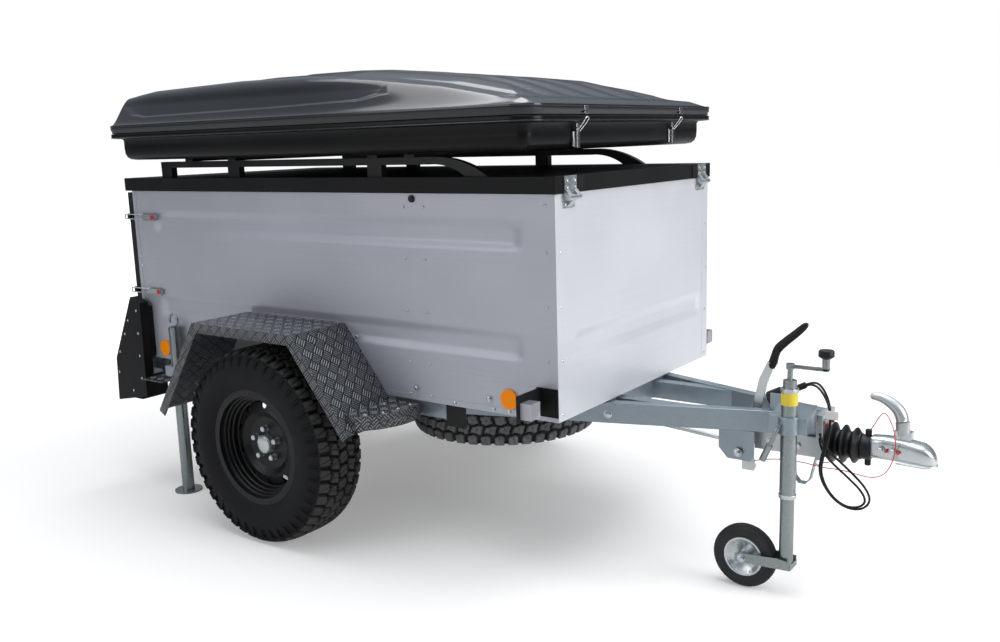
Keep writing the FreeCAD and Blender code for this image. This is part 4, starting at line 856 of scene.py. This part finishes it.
def tent_skin():
    """Hollow shell: outer rings from the seam's lip up to the crown and inner rings back down."""
    insets = np.concatenate([[0.0, 0.002, 0.006], np.linspace(0.010, 0.060, 40),
                             np.linspace(0.063, 0.16, 24), np.linspace(0.175, 0.635, 30)])
    wall = 0.005
    outer, inner = [], []
    for inset in insets[::-1]:
        ring = plan_ring(inset, along=SHELL_STEPS)
        height = roof_height(ring[:, 0], ring[:, 1], inset)
        ring[:, 1] -= np.sign(ring[:, 1]) * side_panel(ring, height)
        outer.append(np.column_stack([ring, height]))
        ring = plan_ring(min(inset + wall, 0.636), along=SHELL_STEPS)
        height = roof_height(ring[:, 0], ring[:, 1], inset) - wall
        inner.append(np.column_stack([ring, height]))
    lip = [level_ring(inset, height, along=SHELL_STEPS) for inset, height in (
        (0.0, 1.489), (0.0, 1.4735), (0.004, 1.470), (0.004, 1.463), (0.006, 1.4607),
        (0.018, 1.4607))]
    return loops(np.stack(outer + lip + inner[::-1]))


piece("tent_roof", tent_skin(), "tent_lid", "tent_gloss", stands_for=("tent_shell",), angle=50.0)


def edge_bead(inset, height, radius=0.0024):
    """Round bead that follows the tent's plan at one height: a small ring carried round it."""
    ring = plan_ring(inset)
    ahead = np.roll(ring, -1, 0) - np.roll(ring, 1, 0)
    ahead /= np.linalg.norm(ahead, axis=1)[:, None]
    out = np.column_stack([ahead[:, 1], -ahead[:, 0], np.zeros(len(ring))])
    turn = np.linspace(0, 2 * np.pi, 10, endpoint=False)[None, :, None]
    middle = level_ring(inset, height)[:, None]
    return loops(middle + radius * (np.cos(turn) * out[:, None] + np.sin(turn) * [0, 0, 1.0]),
                 closed_u=True)


piece("tent_roof_bead", edge_bead(0.0012, 1.4875), "tent_lid", "tent_gloss")
piece("tent_base_bead", edge_bead(0.0012, 1.4450), "lid", "tent_gloss")


def tent_hinge(name, body, leaf_z, leaf_y, knuckle_y):
    """Two half hinges at the tent's rear: a flat leaf and half of the knuckle on each."""
    rear = SHELL_LOW[0]
    parts = []
    for y in (-0.4, 0.4):
        parts.append(cuboid((rear + 0.001, y + leaf_y[0], leaf_z[0]),
                            (rear + 0.010, y + leaf_y[1], leaf_z[1])))
    for y in (-0.4, 0.4):
        parts.append(disc_stack([(0.0058, 0), (0.0058, 0.026)],
                                (rear + 0.006, y + knuckle_y, 1.452), (0, 1, 0), 20))
    piece(name, parts, body, "zinc", FINE)


tent_hinge("tent_hinge_upper", "tent_lid", (1.458, 1.486), (-0.028, -0.002), -0.028)
tent_hinge("tent_hinge_lower", "lid", (1.441, 1.451), (0.002, 0.028), 0.002)


def tray_skin():
    """Tray: a rounded rectangle carried up through (inset, height) pairs, from the middle of its
    underside out to the rolled flange and back down inside."""
    base = TRAY_LOW[2]
    outside = [(0.60, base), (0.30, base), (0.085, base + 0.0005), (0.066, base + 0.004),
               (0.054, base + 0.012), (0.047, base + 0.026), (0.045, base + 0.050),
               (0.045, base + 0.076), (0.040, base + 0.0835), (0.006, 1.4415), (0.001, 1.444),
               (0.0, 1.450), (0.0, 1.4565), (0.002, 1.4595), (0.012, 1.4598)]
    inside = [(0.050, 1.4598), (0.053, 1.455), (0.053, base + 0.03), (0.070, base + 0.008),
              (0.30, base + 0.006), (0.60, base + 0.006)]
    return loops(np.stack([level_ring(*pair) for pair in outside + inside]))


piece("tent_base", tray_skin(), "lid", "tray_black", stands_for=("tent_tray",), angle=50.0)


# ---- drawbar ---------------------------------------------------------------------------------
SHAFT_Z, COLLAR_X = 0.440, 1.867
RAIL_TIP_X, RAIL_TIP_Y, RAIL_SPREAD = 1.744, 0.040, 0.317    # drawbar rail's outer face


def gaiter():
    """Bellows about the shaft: a radius that swings between crest and valley three times while
    the crests shrink towards the collar, then the clamp ring."""
    axle = (0, 0, SHAFT_Z)
    start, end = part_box("bellows")[0][0], AXLE_X + COLLAR_X
    along = np.linspace(0, 1, 61)
    swing = 0.5 - 0.5 * np.cos(2 * np.pi * 3 * along)
    crest = 0.0655 - 0.012 * along
    radius = 0.041 + (crest - 0.041) * swing ** 1.6
    outline = [(0.0245, start)] + list(zip(radius, start + along * (end - start)))
    outline += [(0.0245, end)]
    rubber = lathe(outline, axle, (1, 0, 0), 72)
    piece("gaiter", rubber, "trailer", "gaiter_rubber", stands_for=("bellows",), angle=60.0)
    ring = lathe([(0.0245, end), (0.0365, end), (0.038, end + 0.004), (0.038, end + 0.026),
                  (0.0365, end + 0.030), (0.0245, end + 0.030)], axle, (1, 0, 0), 56)
    tabs = [disc_stack([(0.008, -0.013), (0.0095, -0.011), (0.0095, 0.011), (0.008, 0.013)],
                       (end + 0.019, 0, SHAFT_Z + s), (0, 0, 1), 24) for s in (-0.044, 0.044)]
    piece("gaiter_collar", [ring] + tabs, "trailer", "plug_black", 0.002)


gaiter()


def coupling():
    """Pressed coupling head: rounded-box rings along the drawbar whose half-width and top follow
    their own lines, ending in a round nose, with a rolled flange round the lower edge; the ball
    socket is left open below, and the shaft runs into the sleeve."""
    along = np.array([1.898, 1.905, 1.935, 1.965, 1.990, 2.010, 2.030, 2.046, 2.058, 2.068, 2.076,
                      2.081, 2.0835])
    half = np.interp(along, [1.898, 1.905, 1.96, 2.02, 2.046, 2.062, 2.074, 2.081, 2.0835],
                     [0.026, 0.029, 0.030, 0.035, 0.036, 0.033, 0.024, 0.014, 0.005])
    top = np.interp(along, [1.898, 1.93, 1.99, 2.046, 2.065, 2.077, 2.0835],
                    [0.480, 0.484, 0.483, 0.474, 0.462, 0.446, 0.430])
    base = np.interp(along, [1.898, 1.98, 2.0, 2.0835], [0.412, 0.412, 0.410, 0.410])
    turn = np.linspace(0, 2 * np.pi, 40, endpoint=False)
    cy, cz = (np.sign(c) * np.abs(c) ** 0.55 for c in (np.cos(turn), np.sin(turn)))
    mid, tall = (top + base) / 2, (top - base) / 2
    rings = np.stack([np.broadcast_to((AXLE_X + along)[:, None], (len(along), len(turn))),
                      half[:, None] * cy, mid[:, None] + tall[:, None] * cz], -1)
    head = loops(rings)
    t = np.linspace(-np.pi / 2, np.pi / 2, 25)
    nose = np.column_stack([2.046 + 0.0370 * np.cos(t), 0.0370 * np.sin(t), np.full(25, 0.413)])
    edge = [(1.975, -0.0345, 0.413), *nose, (1.975, 0.0345, 0.413)]
    rolled = tube([at(*p) for p in edge], 0.0030, 12)
    shaft = disc_stack([(0.0238, 1.560), (0.0238, 1.905)], (AXLE_X, 0, SHAFT_Z), (1, 0, 0), 40)
    lug = cuboid(at(1.962, -0.015, 0.478), at(2.012, 0.015, 0.506))
    piece("coupling_shell", [head, rolled, shaft, lug], "trailer", "zinc",
          0.0008, ("coupling_head",))
    line = smooth_line([at(x, 0, z) for x, z in (
        (1.985, 0.492), (1.982, 0.535), (1.970, 0.566), (1.945, 0.588), (1.915, 0.601),
        (1.888, 0.602))], 48)
    share = np.linspace(0, 1, len(line))
    radius = np.interp(share, [0, 0.3, 0.5, 0.9, 0.97, 1.0], [0.0175, 0.0185, 0.0170, 0.0125,
                                                             0.0105, 0.005])
    piece("coupling_lever", tube(line, radius, 28, 1.15), "trailer", "cast_zinc",
          stands_for=("coupling_handle",), angle=60.0)


coupling()


def grip():
    """Handbrake grip: an oval bar that stands up from the lever, bends forwards at a kink and
    swells towards its rounded end."""
    line = smooth_line([at(x, -0.028, z) for x, z in (
        (1.590, 0.658), (1.597, 0.690), (1.608, 0.722), (1.632, 0.748), (1.668, 0.780),
        (1.701, 0.812))], 44)
    t = np.linspace(0, 1, len(line))
    radius = np.interp(t, [0, 0.05, 0.3, 0.45, 0.8, 1.0], [0.0145, 0.0150, 0.0128, 0.0142, 0.0125,
                                                          0.0110])
    radius *= np.sqrt(np.clip(1 - ((t - 0.5) / 0.505) ** 12, 0.02, 1))
    piece("handbrake_handle", tube(line, radius, 24, 0.85), "trailer", "grip_black",
          stands_for=("handbrake_grip",), angle=60.0)


grip()


def jockey_trim():
    """Grooved tyre, blank label, collars, knob and axle nuts of the jockey wheel."""
    low, high = corners("jockey_tyre")
    centre = (low + high) / 2
    radius, half = (high[2] - low[2]) / 2, (high[1] - low[1]) / 2
    across = np.linspace(-1, 1, 41)
    crown = radius - 0.010 * np.abs(across) ** 4 - 0.0022 * (np.cos(across * np.pi * 3) > 0.9)
    section = [(0.062, -half + 0.003), (0.075, -half + 0.0005), (0.082, -half)]
    section += list(zip(crown, across * (half - 0.0008)))
    section += [(0.082, half), (0.075, half - 0.0005), (0.062, half - 0.003)]
    piece("jockey_tread", lathe(section, centre, (0, 1, 0), 96), BODY_OF["jockey_tyre"],
          "jockey_rubber", stands_for=("jockey_tyre",))
    tube_low, tube_high = corners("jockey_outer_tube")
    x, y = (tube_low[0] + tube_high[0]) / 2, (tube_low[1] + tube_high[1]) / 2
    label = lathe([(0.0238, 0.600), (0.0246, 0.600), (0.0246, 0.645), (0.0238, 0.645)], (x, y, 0),
                  (0, 0, 1), 48)
    piece("jockey_label", label, "trailer", "label_yellow")
    rings = [lathe([(0.0235, z), (0.0262, z), (0.0262, z + 0.012), (0.0235, z + 0.012)], (x, y, 0),
                   (0, 0, 1), 48) for z in (0.638, 0.312)]
    piece("jockey_collars", rings, "trailer", "zinc", 0.001)
    crank_top = corners("jockey_crank")[1][2]
    knob = disc_stack([(0.0085, -0.016), (0.0105, -0.014), (0.0105, 0.020), (0.018, 0.024),
                       (0.0225, 0.028), (0.0225, 0.042), (0.020, 0.0455), (0.004, 0.047)],
                      (x + 0.104, y, crank_top - 0.046), (0, 0, 1), 32)
    piece("crank_knob", knob, "trailer", "plug_black")
    nuts = []
    for out in (-1, 1):
        nuts += hex_heads([(centre[0], centre[1] + out * 0.032, centre[2])], (0, out, 0), 0.010,
                          0.008)
    piece("jockey_nuts", nuts, "jockey_leg", "zinc")


jockey_trim()


def drawbar_trim():
    """Bolts along the drawbar, housing and clamps, red plate screws and the cable's tag."""
    bolts = []
    rail_x = 1.118
    for out in (-1, 1):
        spot = at(rail_x, out * (RAIL_TIP_Y + (RAIL_TIP_X - rail_x) * RAIL_SPREAD + 0.001), 0.496)
        bolts += hex_heads([spot], (0.30, out * 0.95, 0), 0.011, 0.009)
        bolts += hex_heads([at(0.30, out * 0.521, 0.51), at(-0.40, out * 0.521, 0.51)],
                           (0, out, 0), 0.008, 0.007)
        bolts += hex_heads([at(x, out * 0.0605, 0.432) for x in (1.600, 1.690)], (0, out, 0),
                           0.009, 0.008)
    bolts += hex_heads([at(1.7655, y, z) for y in (-0.045, 0.045) for z in (0.410, 0.515)],
                       (1, 0, 0), 0.007, 0.006)
    for out in (-1, 1):
        bolts += hex_heads([at(1.513, out * 0.1085, 0.392)], (0, out, 0), 0.011, 0.009)
    bolts += hex_heads([at(x, -0.0325, 0.448) for x in (1.930, 1.965)], (0, -1, 0), 0.009, 0.009)
    piece("drawbar_bolts", bolts, "trailer", "zinc")
    screws = hex_heads([at(1.7655, -0.028, 0.500), at(1.7655, 0.028, 0.500)], (1, 0, 0), 0.0055,
                       0.007)
    screws += hex_heads([at(x, -0.0335, 0.447) for x in (1.948, 1.982)], (0, -1, 0), 0.004, 0.010)
    piece("plate_screws", screws, "trailer", "tip_red")
    tag = cuboid(at(1.784, -0.1020, 0.540), at(1.824, -0.1005, 0.566))
    piece("cable_tag", tag, "trailer", "tag_white", 0.0004)


drawbar_trim()


# ---- small fittings --------------------------------------------------------------------------
def latch_trim():
    """Red lever tips and rivets of the side latches, and the tent's wire toggles and hooks."""
    tips, dots = [], []
    for out in (-1, 1):
        for z in (1.128, 0.824):
            y = sorted((out * (BODY_HALF + 0.0165), out * (BODY_HALF + 0.0185)))
            tips.append(cuboid(at(-0.800, y[0], z - 0.0085), at(-0.778, y[1], z + 0.0085)))
            dots += rivets([at(-0.866, out * (BODY_HALF + 0.004), z + dz)
                            for dz in (-0.010, 0.010)], (0, out, 0), 0.003)
    piece("latch_tips", tips, "trailer", "tip_red", FINE)
    piece("latch_rivets", dots, "trailer", "zinc")
    face = TRAY_HIGH[0] - 0.045
    toggles, hooks = [], []
    for y in (-0.330, 0.330):
        line = smooth_line([(face + 0.016, y - 0.009, 1.412), (face + 0.040, y - 0.010, 1.438),
                            (face + 0.049, y - 0.008, 1.452), (face + 0.049, y + 0.008, 1.452),
                            (face + 0.040, y + 0.010, 1.438), (face + 0.016, y + 0.009, 1.412)],
                           28)
        toggles.append(tube(line, 0.0018, 10))
        outline = np.array([(0.0, 1.488), (0.002, 1.488), (0.004, 1.470), (0.0035, 1.4635),
                            (0.0, 1.4635)])
        x = SHELL_HIGH[0] - 0.0005 + outline[:, 0]
        section = np.stack([np.column_stack([x, np.full(5, y + s), outline[:, 1]])
                            for s in (-0.012, 0.012)])
        hooks.append(loops(section))
    piece("tent_toggle_wires", toggles, "lid", "chrome_trim")
    piece("tent_hooks", hooks, "tent_lid", "chrome_trim", 0.0006)


latch_trim()


def lamp_trim():
    """Bolts on the rear guard plates, the plates beside the lid's hinges and the hinge screws."""
    bolts = []
    for out in (-1, 1):
        spots = [at(x, out * 0.6005, z) for x, z in (
            (-0.892, 0.745), (-0.892, 0.650), (-0.894, 0.555), (-0.895, 0.460), (-0.955, 0.700),
            (-0.985, 0.640), (-1.030, 0.560), (-1.050, 0.470), (-0.960, 0.400))]
        bolts += hex_heads(spots, (0, out, 0), 0.0042, 0.0035)
    piece("guard_bolts", bolts, "trailer", "zinc")
    bolts = []
    for out in (-1, 1):
        bolts += hex_heads([at(x, out * (BODY_HALF + 0.0045), z) for x, z in (
            (0.560, 0.585), (0.860, 0.585), (-0.300, 0.735), (0.300, 0.735))], (0, out, 0), 0.007,
                           0.005)
        bolts += rivets([at(x, out * y, 0.530) for x, y in (
            (0.545, 0.565), (0.545, 0.625), (0.532, 0.685), (0.500, 0.735), (0.46, 0.600))],
                        (0, 0, 1), 0.006)
    piece("guard_screws", bolts, "trailer", "zinc")
    plates = [cuboid((LID_HIGH[0] + 0.0002, y0, LID_LOW[2] + 0.004),
                     (LID_HIGH[0] + 0.0035, y0 + 0.040, LID_HIGH[2] - 0.004))
              for y0 in (-0.425, 0.385)]
    piece("lid_side_plates", plates, "lid", "rack_black", FINE)
    screws = [(LID_HIGH[0] + 0.004, y + dy, z) for y in (-0.465, 0.465) for dy in (-0.022, 0.022)
              for z in (1.248, 1.268)]
    piece("lid_hinge_screws", hex_heads(screws, (1, 0, 0), 0.005, 0.004), "lid", "zinc")
    low_screws = [(FRONT_HIGH[0] + 0.004, y + dy, 1.198) for y in (-0.465, 0.465)
                  for dy in (-0.024, 0.024)]
    piece("wall_hinge_screws", hex_heads(low_screws, (1, 0, 0), 0.005, 0.004), "trailer", "zinc")


lamp_trim()


# ---- free cables -----------------------------------------------------------------------------
def millimetres(point):
    """Point of a route, whose numbers are millimetres from the wheels' axis."""
    return at(*(c / 1000 for c in point))


def cable(name, route, radius, finish, **facts):
    """Round cable on a NURBS line whose control points are the route."""
    data = bpy.data.curves.new(name, "CURVE")
    data.dimensions = "3D"
    line = data.splines.new("NURBS")
    line.points.add(len(route) - 1)
    for control, point in zip(line.points, route):
        control.co = (*millimetres(point), 1.0)
    line.order_u = 3
    line.use_endpoint_u = True
    line.resolution_u = 10
    data.bevel_depth = radius
    data.bevel_resolution = 5
    data.use_fill_caps = True
    data.materials.append(FINISHES[finish])
    made = link(name + "_line", data)
    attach(made, "trailer")
    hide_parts(name)


OUTER_CABLE = [(1757, -60, 478), (1768, -78, 462), (1790, -82, 436), (1824, -80, 408),
               (1866, -76, 372), (1902, -70, 334), (1918, -68, 296), (1896, -66, 264),
               (1852, -66, 256), (1808, -68, 278), (1776, -74, 322), (1764, -84, 372),
               (1776, -95, 424), (1790, -98, 474), (1797, -92, 524), (1792, -78, 574),
               (1768, -60, 618), (1732, -38, 638), (1700, -27, 619)]
INNER_CABLE = [(1757, -60, 464), (1764, -78, 447), (1782, -84, 421), (1812, -82, 392),
               (1852, -76, 358), (1887, -69, 324), (1904, -67, 292), (1886, -65, 268),
               (1848, -76, 265), (1810, -80, 288), (1784, -86, 328), (1773, -94, 374),
               (1784, -105, 424), (1797, -108, 474), (1801, -102, 522), (1794, -88, 570),
               (1767, -70, 611), (1731, -50, 632), (1700, -35, 619)]
BREAK_CABLE = [(1537, -35, 348), (1585, -35, 362), (1640, -34, 370), (1700, -34, 370),
               (1760, -42, 366), (1820, -52, 372), (1872, -52, 366), (1915, -48, 360),
               (1950, -46, 378), (1970, -46, 420), (1977, -46, 468), (1970, -42, 514),
               (1950, -26, 548), (1928, 4, 556), (1906, 34, 530), (1884, 58, 490),
               (1852, 72, 444), (1818, 72, 400), (1780, 68, 366), (1745, 63, 347),
               (1726, 62, 345)]


def cable_gland(route):
    """Short moulded sleeve round the last stretch of a cable, where it enters the plug."""
    tip, before = (np.array(millimetres(point)) for point in (route[-1], route[-2]))
    way = (before - tip) / np.linalg.norm(before - tip)
    return piece("cable_gland", disc_stack([(0.0052, 0.001), (0.0056, 0.004), (0.0048, 0.018),
                                            (0.0040, 0.022)], tip, way, 24),
                 "trailer", "plug_black")


cable("light_cable_outer", OUTER_CABLE, 0.0035, "cable_black",
      length=0.82, far_end="plug", stiffness="medium", lay="hanging",
      with_pieces=[bpy.data.objects["connector_plug_finish"]])
cable("light_cable_inner", INNER_CABLE, 0.0035, "cable_black",
      length=0.77, far_end="fitting", stiffness="medium", lay="hanging",
      with_pieces=[cable_gland(INNER_CABLE)])
cable("breakaway_cable", BREAK_CABLE, 0.0015, "cable_red",
      length=0.95, far_end="fitting", stiffness="medium", lay="hanging",
      with_pieces=[bpy.data.objects["cable_hook_finish"]])


# ---- studio ----------------------------------------------------------------------------------
def studio():
    """Pale floor with a painted glow that only the camera sees: it lifts the shadow under the
    trailer and fades the floor to white far off; an even pale surround and three large soft
    lights."""
    size = 30.0
    mesh = bpy.data.meshes.new("floor")
    mesh.from_pydata([(-size, -size, 0), (size, -size, 0), (size, size, 0), (-size, size, 0)], [],
                     [(0, 1, 2, 3)])
    ground = link("floor", mesh)
    material, tree, shader, place = blank("floor", {
        "Base Color": (0.80, 0.80, 0.80, 1), "Roughness": 0.7, "Emission Color": (1, 1, 1, 1)})
    # painted light: the floor glows for camera rays only, 0.24 near the trailer to lighten its
    # cast shadow, rising to 1.0 far off
    reach = add(tree, "VectorMath", {0: place}, operation="LENGTH").outputs["Value"]
    far = spread(tree, reach, 0.24, 1.0, (2.4, 6.0))
    seen = add(tree, "LightPath").outputs["Is Camera Ray"]
    tree.links.new(calc(tree, "MULTIPLY", far, seen), shader.inputs["Emission Strength"])
    mesh.materials.append(material)
    world = bpy.data.worlds.new("surround")
    bpy.context.scene.world = world
    world.use_nodes = True
    tree = world.node_tree
    sky = tree.nodes["Background"]
    sky.inputs["Color"].default_value = (0.90, 0.94, 1.0, 1)
    sky.inputs["Strength"].default_value = 0.26
    backdrop = add(tree, "Background", {"Color": (1, 1, 1, 1), "Strength": 1.0})
    path = add(tree, "LightPath")
    rise = add(tree, "SeparateXYZ", {"Vector": add(tree, "TexCoord").outputs["Generated"]})
    bright = spread(tree, rise.outputs[2], 0.12, 1.1, (0.16, 0.80))
    gloss = add(tree, "Background", {"Color": (0.80, 0.89, 1.0, 1), "Strength": bright})
    lit = add(tree, "MixShader", {0: path.outputs["Is Glossy Ray"], 1: sky.outputs[0],
                                  2: gloss.outputs[0]})
    both = add(tree, "MixShader", {0: path.outputs["Is Camera Ray"], 1: lit.outputs[0],
                                   2: backdrop.outputs[0]})
    tree.links.new(both.outputs[0], tree.nodes["World Output"].inputs["Surface"])
    lights = (("overhead", at(0.4, 0.4, 5.0), at(0.3, 0, 0.5), 6.0, 330.0),
              ("front", at(6.0, 0.6, 2.4), at(0.8, 0, 0.8), 3.0, 200.0),
              ("side", at(-2.5, -6.0, 2.6), at(0.0, -0.3, 0.6), 3.4, 85.0))
    for name, place, aim, width, power in lights:
        data = bpy.data.lights.new(name, "AREA")
        data.size = width
        data.energy = power
        lamp = link(name, data)
        lamp.location = place
        way = Vector(aim) - Vector(place)
        lamp.rotation_euler = way.to_track_quat("-Z", "Y").to_euler()
    bpy.context.scene.view_settings.view_transform = "Standard"


studio()
